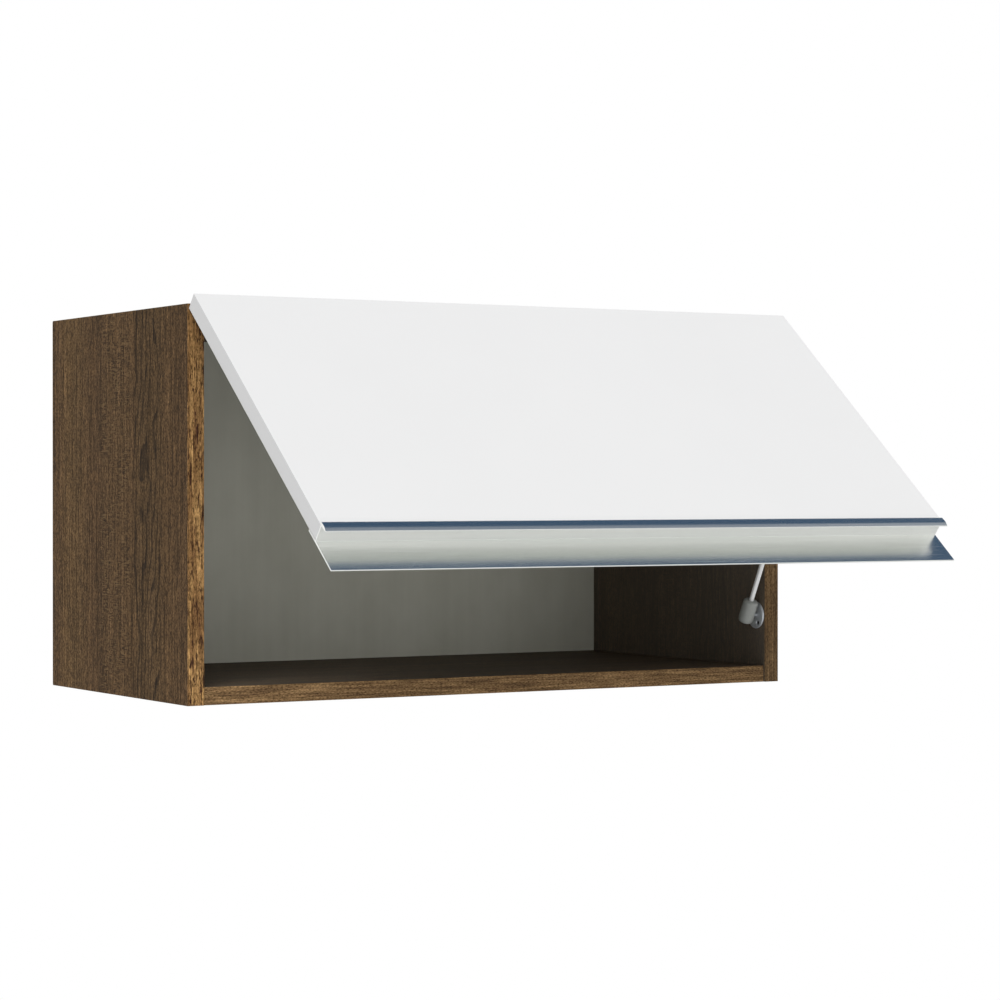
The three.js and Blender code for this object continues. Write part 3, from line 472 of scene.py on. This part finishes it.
LOOKS = {name: recipe(name, **settings) for name, (recipe, settings) in RECIPES.items()}


# ---------------------------------------------------------------- floor and card

FLOOR_PLACE = (0.0, 0.0, -1.0)
FLOOR_RADIUS = 3.0
FLOOR_TONE = 0.92
FLOOR_FADE = (0.55, 0.95)
CARD_PLACE = (1.2, 0.0, 2.0)
CARD_RADIUS = 6.0
CARD_FADE = (0.2, 0.6)
CARD_BLUE = (57, 81, 107)
DISC_STEPS = 96


def add_disc(name, radius, place):
    mesh = bpy.data.meshes.new(name)
    shape = bmesh.new()
    bmesh.ops.create_circle(shape, cap_ends=True, radius=radius, segments=DISC_STEPS)
    shape.to_mesh(mesh)
    shape.free()
    disc = bpy.data.objects.new(name, mesh)
    disc.location = place
    SCENE.collection.objects.link(disc)
    return disc


def fade_out(look, shader, radius, fade, unseen=0.0):
    """The shader in the middle of a disc, and nothing at its rim or where it is unseen.

    It fades between two shares of the radius.
    """
    start, end = fade
    reach = look.node("VectorMath", {0: look.place}, operation="LENGTH").outputs["Value"]
    seen = look.ramp(look.math("DIVIDE", reach, radius), [(start, 1.0), (end, 0.0)])
    seen = look.math("SUBTRACT", seen, unseen, clamp=True)
    both = look.nodes.new("ShaderNodeMixShader")
    look.plug(seen, both.inputs[0])
    look.plug(look.nodes.new("ShaderNodeBsdfTransparent").outputs[0], both.inputs[1])
    look.plug(shader, both.inputs[2])
    look.plug(both.outputs[0], look.nodes["Material Output"].inputs["Surface"])


def add_floor():
    """A pale floor well below the cabinet, which hangs on a wall. It isn't seen from below."""
    floor = add_disc("floor", FLOOR_RADIUS, FLOOR_PLACE)
    look = Look("floor", roughness=0.9, specular=0.1)
    look.color(look.tone(FLOOR_TONE, 0.005))
    below = look.nodes.new("ShaderNodeNewGeometry").outputs["Backfacing"]
    fade_out(look, look.shader.outputs[0], FLOOR_RADIUS, FLOOR_FADE, below)
    floor.data.materials.append(look.material)


def add_card():
    """A dark blue card overhead, which shows only where a piece mirrors it."""
    card = add_disc("card", CARD_RADIUS, CARD_PLACE)
    look = Look("card", roughness=1.0)
    glow = look.node("Emission", {"Color": ink(*CARD_BLUE)}).outputs[0]
    fade_out(look, glow, CARD_RADIUS, CARD_FADE)
    card.data.materials.append(look.material)
    card.visible_camera = False
    card.visible_diffuse = False
    card.visible_shadow = False
    card.visible_transmission = False


# ---------------------------------------------------------------- the CAD's own pieces

SIDE_ROUNDING = 0.25
BOARD_ROUNDING = 0.2
DOOR_ROUNDING = 0.4
FITTING_ROUNDING = 0.12
WELD_REACH = 0.002
FLAT_ANGLE = math.radians(0.5)
EDGE_ANGLE = math.radians(40)


def wear(node_name, looks, slot, rounding, pick=None):
    """Gives a CAD piece its looks and slightly rounded edges. The pick tells its faces apart."""
    node = frame["nodes"][node_name]
    node.data.materials.clear()
    for look in looks:
        node.data.materials.append(LOOKS[look])
    for polygon in node.data.polygons:
        polygon.material_index = pick(polygon) if pick else 0
    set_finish(node, slot)
    soften(node, rounding)


def soften(node, rounding):
    """Joins the flat faces of a CAD piece and rounds the edges between them."""
    weld = node.modifiers.new("weld", "WELD")
    weld.merge_threshold = WELD_REACH * MM
    flat = node.modifiers.new("flat", "DECIMATE")
    flat.decimate_type = "DISSOLVE"
    flat.angle_limit = FLAT_ANGLE
    flat.delimit = {"MATERIAL"}
    bevel = node.modifiers.new("bevel", "BEVEL")
    bevel.width = rounding * MM
    bevel.segments = 2
    bevel.limit_method = "ANGLE"
    bevel.angle_limit = EDGE_ANGLE
    bevel.harden_normals = True


def board_faces(level_axis, outside):
    """Outer face, cut and bare edges, inner face of a carcass board: 0, 1 and 2."""
    def pick(polygon):
        facing = polygon.normal[level_axis]
        if abs(facing) < 0.7:
            return 1
        return 2 if facing * outside < 0 else 0
    return pick


def dress_boards():
    for side, outside in (("left", -1), ("right", 1)):
        looks = [f"oak_{side}", "chipboard", "oak_inner"]
        wear(f"{side}_side_panel", looks, "oak_board", SIDE_ROUNDING, board_faces(X, outside))
        wear(f"{side}_side_edge_band", [f"edge_{side}"], "oak_edge", BOARD_ROUNDING)
    for level, outside in (("top", 1), ("bottom", -1)):
        looks = [f"oak_{level}", "chipboard", "oak_shelf"]
        wear(f"{level}_panel", looks, "oak_board", BOARD_ROUNDING, board_faces(Z, outside))
        wear(f"{level}_edge_band", [f"edge_{level}"], "oak_edge", BOARD_ROUNDING)
    wear("back_panel", ["hardboard"], "hardboard", BOARD_ROUNDING)
    wear("door_panel", ["white_board"], "white_board", DOOR_ROUNDING)


FITTING_SLOTS = (
    ("plate_screw", "dark_steel"), ("plate", "cast_zinc"), ("cam_lock", "cast_zinc"),
    ("dowel", "beech"), ("buffer", "clear_plastic"), ("socket", "grey_plastic"),
    ("rod_guide", "grey_plastic"), ("piston", "grey_plastic"), ("cylinder", "strut_tube"),
    ("strut_rod", "rod_steel"), ("handle_profile", "anodised_aluminium"),
)


def dress_fittings():
    """Each fitting takes the first look whose word its name holds, or else steel."""
    for node_name, node in frame["nodes"].items():
        if "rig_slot" in node:
            continue
        slot = next((look for word, look in FITTING_SLOTS if word in node_name), "steel")
        wear(node_name, [slot], slot, FITTING_ROUNDING)


# ---------------------------------------------------------------- frames of the moving parts

CLEARANCE = 0.3
JOINTS = {joint["name"]: joint for joint in frame["joints"]}


def place_at(joint_name, lean):
    """A joint's frame at rest, turned about X. Its pieces are laid out in it."""
    return Matrix.Translation(JOINTS[joint_name]["pos_m"]) @ Matrix.Rotation(lean, 4, "X")


RISE = JOINTS["strut_extension"]["axis"]
DOOR_PLACE = place_at("door_lift", math.radians(JOINTS["door_lift"]["range_deg"][0]))
STRUT_PLACE = place_at("strut_swing", math.atan2(-RISE[Y], RISE[Z]))
CABINET_PLACE = Matrix.Identity(4)


def span(node_name, place):
    """Lowest and highest corner of a CAD node in a frame, in millimetres."""
    back = place.inverted()
    corners = [back @ vertex.co / MM for vertex in frame["nodes"][node_name].data.vertices]
    low = Vector([min(c[axis] for c in corners) for axis in (X, Y, Z)])
    high = Vector([max(c[axis] for c in corners) for axis in (X, Y, Z)])
    return low, high


# ---------------------------------------------------------------- mesh helpers

SHARP_ANGLE = math.radians(32)
OVERCUT = 1.0


def bezier(points, steps):
    """Points along a curve of any order, its first point left out."""
    curve = []
    for step in range(1, steps + 1):
        level = [Vector(p) for p in points]
        while len(level) > 1:
            level = [a.lerp(b, step / steps) for a, b in zip(level, level[1:])]
        curve.append(tuple(level[0]))
    return curve


def extruded(section, x0, x1):
    """A section in Y and Z, run along X."""
    shape = bmesh.new()
    ends = [[shape.verts.new((x, y, z)) for y, z in section] for x in (x0, x1)]
    count = len(section)
    for index in range(count):
        after = (index + 1) % count
        shape.faces.new((ends[0][index], ends[0][after], ends[1][after], ends[1][index]))
    for end in ends:
        shape.faces.new(end)
    bmesh.ops.recalc_face_normals(shape, faces=shape.faces)
    return shape


def lathed(profile, start=(0, 0, 0), direction=(0, 0, 1), steps=48):
    """[radius, height] pairs revolved, laid along a direction from a start."""
    shape = bmesh.new()
    rings = []
    for radius, height in profile:
        if radius < 1e-6:
            rings.append([shape.verts.new((0, 0, height))] * steps)
            continue
        angles = [math.tau * step / steps for step in range(steps)]
        round_points = [(radius * math.cos(a), radius * math.sin(a), height) for a in angles]
        rings.append([shape.verts.new(point) for point in round_points])
    for lower, upper in zip(rings, rings[1:]):
        for index in range(steps):
            after = (index + 1) % steps
            corners = dict.fromkeys((lower[index], lower[after], upper[after], upper[index]))
            if len(corners) > 2:
                shape.faces.new(corners)
    bmesh.ops.recalc_face_normals(shape, faces=shape.faces)
    turn = Vector(direction).to_track_quat("Z", "Y").to_matrix().to_4x4()
    shape.transform(Matrix.Translation(start) @ turn)
    return shape


def cylinder(radius, length, start, direction):
    return lathed([(0, 0), (radius, 0), (radius, length), (0, length)], start, direction)


def rounded(profile, radius, steps=5):
    """The profile with all its corners rounded, but not its ends."""
    smooth = [profile[0]]
    for before, corner, after in zip(profile, profile[1:], profile[2:]):
        corner = Vector(corner)
        ways = [Vector(point) - corner for point in (before, after)]
        reach = min(radius, *(way.length / 2.2 for way in ways))
        ends = [corner + way.normalized() * reach for way in ways]
        smooth.append(tuple(ends[0]))
        smooth += bezier([ends[0], corner, ends[1]], steps)
    return smooth + [profile[-1]]


def to_mesh(name, shape):
    """A mesh in metres from a bmesh in millimetres."""
    shape.transform(Matrix.Scale(MM, 4))
    mesh = bpy.data.meshes.new(name)
    shape.to_mesh(mesh)
    shape.free()
    return mesh


def joined(shapes):
    """One bmesh from several, which it uses up."""
    whole = bmesh.new()
    for shape in shapes:
        part = bpy.data.meshes.new("part")
        shape.to_mesh(part)
        shape.free()
        whole.from_mesh(part)
        bpy.data.meshes.remove(part)
    return whole


def carved(name, shape, cutters):
    """A mesh of the shape with the cutters taken out of it."""
    target = bpy.data.objects.new(name, to_mesh(name, shape))
    SCENE.collection.objects.link(target)
    tools = []
    for cutter in cutters:
        tool = bpy.data.objects.new("cutter", to_mesh("cutter", cutter))
        SCENE.collection.objects.link(tool)
        taken = target.modifiers.new("cut", "BOOLEAN")
        taken.object = tool
        taken.solver = "EXACT"
        tools.append(tool)
    bpy.context.view_layer.update()
    depsgraph = bpy.context.evaluated_depsgraph_get()
    mesh = bpy.data.meshes.new_from_object(target.evaluated_get(depsgraph))
    for used in [target, *tools]:
        bpy.data.objects.remove(used)
    return mesh


def add_piece(name, mesh, body, place, slot, stands_for):
    """A shown piece in the place of CAD nodes, smooth but for its real edges.

    The slot's name is its look's too.
    """
    mesh.transform(place)
    mesh.shade_smooth()
    mesh.set_sharp_from_angle(angle=SHARP_ANGLE)
    mesh.materials.clear()
    mesh.materials.append(LOOKS[slot])
    piece = bpy.data.objects.new(name, mesh)
    SCENE.collection.objects.link(piece)
    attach(piece, body)
    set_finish(piece, slot)
    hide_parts(*stands_for)
    return piece


# ---------------------------------------------------------------- handle profile

PROFILE_WALL = 1.2
LIP_LAP = 2.1
LIP_DROP = 9.3
# Outward and down from the top of the lip, in millimetres.
LIP_FRONT = ((0.0, 0.0), (1.1, 0.3), (1.8, 1.6), (2.2, 5.9), (2.1, 7.8), (1.05, 11.1), (0.85, 11.4))
LIP_ROUNDING = 2.0
LIP_TIP = 0.4
CREASE = 0.25


def handle_section():
    """Flange behind the panel, which runs on as the pull, web under the panel and rounded lip."""
    panel_low, panel_high = span("door_panel", DOOR_PLACE)
    low, high = span("handle_profile", DOOR_PLACE)
    front = panel_high.y + CLEARANCE
    back = front + PROFILE_WALL
    web_top = panel_low.z - CLEARANCE
    web = web_top - PROFILE_WALL
    lip_back = panel_low.y - CLEARANCE
    lip_top, lip_tip, tip = panel_low.z + LIP_LAP, panel_low.z - LIP_DROP, low.z
    edge = PROFILE_WALL / 3
    section = [(back, high.z - edge), (back - edge, high.z), (front, high.z - edge)]
    section += [(front, web_top), (lip_back, web_top)]
    section += rounded([(lip_back - out, lip_top - down) for out, down in LIP_FRONT], LIP_ROUNDING, 6)
    inner = lip_back + edge
    section += [(lip_back - LIP_TIP, lip_tip), (lip_back - LIP_TIP / 2, lip_tip + LIP_TIP)]
    section += bezier([(inner, web - edge), (inner, web), (inner + edge, web)], 5)
    section += bezier([(front - CREASE, web), (front, web), (front, web - CREASE)], 10)
    section += bezier([(front, tip + edge), (front, tip), (front + PROFILE_WALL / 2, tip)], 5)
    section += bezier([section[-1], (back, tip), (back, tip + edge)], 5)
    return section


def add_handle():
    """Bright profile with satin faces on its underside."""
    low, high = span("handle_profile", DOOR_PLACE)
    mesh = to_mesh("handle", extruded(handle_section(), low.x, high.x))
    downward = [polygon.normal.z < -0.9 for polygon in mesh.polygons]
    handle = add_piece(
        "handle", mesh, "door", DOOR_PLACE, "anodised_aluminium", ["handle_profile"])
    handle.data.materials.append(LOOKS["satin_aluminium"])
    for polygon, satin in zip(handle.data.polygons, downward):
        polygon.material_index = int(satin)


# ---------------------------------------------------------------- gas strut

ROD_SLIMMER = 0.93
ROD_ROUNDING = 0.3
TUBE_WALL = 1.0
TUBE_END = 3.0
TUBE_MOUTH = 1.0
TUBE_SHOULDER = 1.2
TUBE_ROUNDING = 0.8
ROLLED_IN = 0.6
ROLLED_UP = 1.4
STUB_RADIUS = 3.0
ROD_SEAT_RADIUS = 2.0
BALL_RADIUS = 4.0
BALL_STEPS = 20
NECK_RADIUS = 2.4
FLANGE_THICK = 1.2
FLANGE_CHAMFER = 0.3
MOUTH_RADIUS = 3.4
SOCKET_ABOVE_BALL = 15.4
SOCKET_BORE = 8.0
SOCKET_CHAMFER = 1.6
SOCKET_ROUNDING = 1.8
SOCKET_FOOT_SHARE = 0.86
SOCKET_SWELL_SHARE = 0.45
STRUT_BODIES = {"lower": "strut_rod_body", "upper": "strut_tube_body"}


def add_rod():
    low, high = span("strut_rod", STRUT_PLACE)
    radius = high.x * ROD_SLIMMER
    profile = [(0, low.z), (radius, low.z), (radius, high.z), (0, high.z)]
    mesh = to_mesh("gas_rod", lathed(rounded(profile, ROD_ROUNDING)))
    add_piece("gas_rod", mesh, STRUT_BODIES["lower"], STRUT_PLACE, "rod_steel", ["strut_rod"])


def add_tube():
    """Painted tube, rolled in round the rod's guide at its lower end."""
    low, high = span("strut_cylinder", STRUT_PLACE)
    radius = high.x
    bore = radius - TUBE_WALL
    end = span("strut_upper_socket", STRUT_PLACE)[0].z - CLEARANCE
    outside = rounded([
        (bore, low.z + TUBE_MOUTH), (bore, low.z), (radius - ROLLED_IN, low.z),
        (radius, low.z + ROLLED_UP), (radius, end - TUBE_SHOULDER), (radius - TUBE_SHOULDER, end),
        (STUB_RADIUS, end), (STUB_RADIUS, high.z), (0, high.z)], TUBE_ROUNDING)
    inside = [(0, end - TUBE_END), (bore, end - TUBE_END), (bore, low.z + TUBE_MOUTH)]
    mesh = to_mesh("gas_tube", lathed(outside + inside))
    add_piece("gas_tube", mesh, STRUT_BODIES["upper"], STRUT_PLACE, "strut_tube", ["strut_cylinder"])


def add_socket(end, away, mouth, bore_radius):
    """Moulded end that snaps over a ball: a pocket with a narrower mouth, and a bore.

    It runs up or down from the ball (away is 1 or -1), and its mouth looks right or left.
    """
    node = f"strut_{end}_socket"
    low, high = span(node, STRUT_PLACE)
    radius = high.x if away > 0 else -low.x
    near = low.z if away > 0 else high.z
    length = high.z - low.z
    ball = length - SOCKET_ABOVE_BALL
    profile = rounded([
        (0, 0), (radius * SOCKET_FOOT_SHARE, 0), (radius, ball * SOCKET_SWELL_SHARE),
        (radius, length - SOCKET_CHAMFER), (radius - SOCKET_CHAMFER, length), (0, length)],
        SOCKET_ROUNDING, 6)
    start, direction = Vector(((low.x + high.x) / 2, 0, near)), Vector((0, 0, away))
    centre = start + direction * ball
    opening = cylinder(MOUTH_RADIUS, radius + OVERCUT, centre, (mouth, 0, 0))
    bore_start = start + direction * (length - SOCKET_BORE)
    bore = cylinder(bore_radius + CLEARANCE, SOCKET_BORE + OVERCUT, bore_start, direction)
    cutters = [ball_pocket(centre), opening, bore]
    mesh = carved(f"{end}_socket", lathed(profile, start, direction), cutters)
    add_piece(f"{end}_socket", mesh, STRUT_BODIES[end], STRUT_PLACE, "grey_plastic", [node])


def ball_pocket(centre):
    pocket = bmesh.new()
    bmesh.ops.create_icosphere(pocket, subdivisions=3, radius=BALL_RADIUS + CLEARANCE)
    pocket.transform(Matrix.Translation(centre))
    return pocket


def ball_profile(length, flange_radius=0.0):
    """A ball round the origin and its neck, which ends flat or in a riveting flange."""
    neck_angle = math.asin(NECK_RADIUS / BALL_RADIUS)
    turns = [(math.pi - neck_angle) * step / BALL_STEPS for step in range(BALL_STEPS + 1)]
    profile = [(BALL_RADIUS * math.sin(a), -BALL_RADIUS * math.cos(a)) for a in turns]
    if not flange_radius:
        return profile + [(NECK_RADIUS, length), (0, length)]
    foot = length - FLANGE_THICK
    return profile + [
        (NECK_RADIUS, foot), (flange_radius - FLANGE_CHAMFER, foot),
        (flange_radius, foot + FLANGE_CHAMFER), (flange_radius, length), (0, length)]


def add_studs():
    """Ball studs: the lower one stands on the plate, the upper one on the door's bracket."""
    low, high = span("strut_lower_ball_stud", CABINET_PLACE)
    centre = Vector((low.x + BALL_RADIUS, (low.y + high.y) / 2, (low.z + high.z) / 2))
    stud = lathed(ball_profile(high.x - centre.x), centre, (1, 0, 0))
    add_piece("lower_stud", to_mesh("lower_stud", stud), "cabinet", CABINET_PLACE, "steel",
              ["strut_lower_ball_stud"])
    low, high = span("strut_upper_ball_stud", STRUT_PLACE)
    centre = Vector((high.x - BALL_RADIUS, (low.y + high.y) / 2, (low.z + high.z) / 2))
    stud = lathed(ball_profile(centre.x - low.x, (high.y - low.y) / 2), centre, (-1, 0, 0))
    add_piece("upper_stud", to_mesh("upper_stud", stud), STRUT_BODIES["upper"], STRUT_PLACE, "steel",
              ["strut_upper_ball_stud"])


PLATE_CHAMFER = 0.8
PLATE_ROUNDING = 0.6
PLATE_HOLE = 2.1
HOLE_SINK = 0.5
HOLE_LEAD = 0.1


def add_plate():
    """Round cast plate on the side panel, with countersunk holes for its two screws."""
    low, high = span("strut_plate", CABINET_PLACE)
    centre = Vector((low.x, (low.y + high.y) / 2, (low.z + high.z) / 2))
    radius, thick = (high.z - low.z) / 2, high.x - low.x
    profile = rounded([
        (0, 0), (radius - PLATE_CHAMFER, 0), (radius, PLATE_CHAMFER), (radius, thick),
        (0, thick)], PLATE_ROUNDING)
    sink = [
        (0, 0), (PLATE_HOLE + HOLE_SINK, 0), (PLATE_HOLE, HOLE_SINK + HOLE_LEAD),
        (PLATE_HOLE, thick + OVERCUT), (0, thick + OVERCUT)]
    holes = []
    for index in (1, 2):
        screw_low, screw_high = span(f"strut_plate_screw_{index}", CABINET_PLACE)
        middle = (screw_low + screw_high) / 2
        holes.append(lathed(sink, (low.x - HOLE_LEAD, middle.y, middle.z), (1, 0, 0), 32))
    mesh = carved("plate", lathed(profile, centre, (1, 0, 0), 72), holes)
    add_piece("plate", mesh, "cabinet", CABINET_PLACE, "cast_zinc", ["strut_plate"])


def add_strut():
    add_rod()
    add_tube()
    add_socket("lower", 1, 1, ROD_SEAT_RADIUS)
    add_socket("upper", -1, -1, STUB_RADIUS)
    add_studs()
    add_plate()


# ---------------------------------------------------------------- small fasteners

SCREW_RADIUS = 1.5
WIDE_HEAD = 1.5 * SCREW_RADIUS
SCREW_HEAD = 1.2
# Shares of the head's radius and height, from its crown to its rim.
HEAD_CURVE = ((0.0, 0.0), (0.55, 1 / 15), (0.85, 0.4), (1.0, 1.0))
HEAD_ROUNDING = 0.7
HEAD_CHAMFER = 0.2
RECESS_DEPTH = 0.8
RECESS_WIDTH = 0.8
RECESS_REACH = 3.2
RECESS_FOOT_REACH = 0.45
RECESS_FOOT_WIDTH = 0.7


def screw_frame(node, place, axis, way):
    """Seat, direction, head radius and length of a CAD screw, from its span."""
    low, high = span(node, place)
    start = (low + high) / 2
    start[axis] = low[axis] if way > 0 else high[axis]
    direction = Vector((0, 0, 0))
    direction[axis] = way
    across = [other for other in (X, Y, Z) if other != axis]
    radius = max((high[other] - low[other]) / 2 for other in across)
    return start, direction, radius, high[axis] - low[axis]


def cross_recess(start, direction):
    """Two crossed slots, smaller at their foot, to cut from a screw's head."""
    turn = direction.to_track_quat("Z", "Y").to_matrix().to_4x4()
    arms = []
    for quarter in (0, 1):
        arm = bmesh.new()
        bmesh.ops.create_cube(arm, size=1)
        for vertex in arm.verts:
            deep = vertex.co.z > 0
            vertex.co.x *= RECESS_REACH * (RECESS_FOOT_REACH if deep else 1.0)
            vertex.co.y *= RECESS_WIDTH * (RECESS_FOOT_WIDTH if deep else 1.0)
            vertex.co.z *= 2 * RECESS_DEPTH
        crossed = turn @ Matrix.Rotation(math.pi / 2 * quarter, 4, "Z")
        arm.transform(Matrix.Translation(start) @ crossed)
        arms.append(arm)
    return arms


def add_screw(node, body, place, axis, way, slot="steel"):
    """Screw with a rounded or a narrow flat head, a cross recess and a point."""
    start, direction, radius, length = screw_frame(node, place, axis, way)
    if radius > WIDE_HEAD:
        dome = [(radius * out, SCREW_HEAD * down) for out, down in HEAD_CURVE]
        head = rounded(dome + [(SCREW_RADIUS, SCREW_HEAD)], HEAD_ROUNDING)
    else:
        head = [(0, 0), (radius - HEAD_CHAMFER, 0), (radius, HEAD_CHAMFER)]
    shank = min(radius, SCREW_RADIUS)
    shape = lathed(head + [(shank, length - shank), (0, length)], start, direction, 32)
    mesh = carved(node, shape, cross_recess(start, direction))
    add_piece(node.replace("screw", "fixing"), mesh, body, place, slot, [node])


def add_screws():
    for side, way in (("left", -1), ("right", 1)):
        add_screw(f"wall_bracket_screw_{side}", "cabinet", CABINET_PLACE, X, way)
        for index in (1, 2):
            add_screw(f"hinge_carcass_screw_{side}_{index}", "cabinet", CABINET_PLACE, Z, 1)
            add_screw(f"hinge_door_screw_{side}_{index}", "door", DOOR_PLACE, Y, -1)
    for index in (1, 2):
        add_screw(f"strut_plate_screw_{index}", "cabinet", CABINET_PLACE, X, 1, "dark_steel")
        add_screw(f"strut_door_bracket_screw_{index}", "door", DOOR_PLACE, Y, -1)


BUFFER_WALL = 0.3
BUFFER_DOME = 0.6


def add_buffers():
    """Clear domes that the closed door rests on."""
    for side in ("left", "right"):
        node = f"door_buffer_{side}"
        low, high = span(node, DOOR_PLACE)
        radius, height = (high.x - low.x) / 2, high.y - low.y
        start = ((low.x + high.x) / 2, low.y, (low.z + high.z) / 2)
        profile = [(0, 0), (radius, 0), (radius, height * BUFFER_WALL)]
        profile += bezier([profile[-1], (radius * BUFFER_DOME, height), (0, height)], 8)
        mesh = to_mesh(node, lathed(profile, start, (0, 1, 0), 32))
        add_piece(f"buffer_{side}", mesh, "door", DOOR_PLACE, "clear_plastic", [node])


NAIL_RADIUS = 1.3
NAIL_EDGE_IN = 0.3
NAIL_EDGE_DOWN = 0.2
NAIL_SHORT_OF_FACE = 1.0
NAIL_PIT = 0.25
NAIL_SUNK = 1.3 * NAIL_PIT
PIT_RIM = 0.4
PIT_FOOT = 0.1
NAIL_SPACING = 84.0
NAIL_FROM_EDGE = 7.0


def nail_places():
    """Along all four edges of the back, evenly and at nearly one spacing."""
    low, high = span("back_panel", CABINET_PLACE)
    x0, x1 = low.x + NAIL_FROM_EDGE, high.x - NAIL_FROM_EDGE
    z0, z1 = low.z + NAIL_FROM_EDGE, high.z - NAIL_FROM_EDGE
    across, up = round((x1 - x0) / NAIL_SPACING), round((z1 - z0) / NAIL_SPACING)
    level = [(x0 + (x1 - x0) * step / across, z) for step in range(across + 1) for z in (z0, z1)]
    upright = [(x, z0 + (z1 - z0) * step / up) for step in range(1, up) for x in (x0, x1)]
    return level + upright


def add_nails():
    """Flat nail heads, each in a shallow pit that it pressed into the hardboard."""
    low, high = span("back_panel", CABINET_PLACE)
    length = high.y - low.y - NAIL_SHORT_OF_FACE
    head = [
        (0, 0), (NAIL_RADIUS - NAIL_EDGE_IN, 0), (NAIL_RADIUS, NAIL_EDGE_DOWN),
        (NAIL_RADIUS, length), (0, length)]
    pit = [
        (0, 0), (NAIL_RADIUS + PIT_RIM, 0), (NAIL_RADIUS + PIT_FOOT, 2 * NAIL_PIT),
        (0, 2 * NAIL_PIT)]
    pits, heads = [], []
    for x, z in nail_places():
        rear = Vector((x, high.y + NAIL_PIT, z))
        sunk = rear - Vector((0, NAIL_SUNK, 0))
        pits.append(lathed(pit, rear, (0, -1, 0), 20))
        heads.append(lathed(head, sunk, (0, -1, 0), 20))
    add_piece("nails", to_mesh("nails", joined(heads)), "cabinet", CABINET_PLACE, "steel", [])
    cutter = bpy.data.objects.new("pits", to_mesh("pits", joined(pits)))
    SCENE.collection.objects.link(cutter)
    cutter.hide_render = True
    cutter.hide_viewport = True
    pressed = frame["nodes"]["back_panel"].modifiers.new("pits", "BOOLEAN")
    pressed.object = cutter
    pressed.solver = "EXACT"


# ---------------------------------------------------------------- the whole scene


add_camera()
add_world()
add_sun("key", KEY_TOWARDS, KEY_STRENGTH, KEY_ANGLE)
add_sun("front", FRONT_TOWARDS, FRONT_STRENGTH, FRONT_ANGLE)
add_floor()
add_card()
dress_boards()
dress_fittings()
add_handle()
add_strut()
add_screws()
add_buffers()
add_nails()
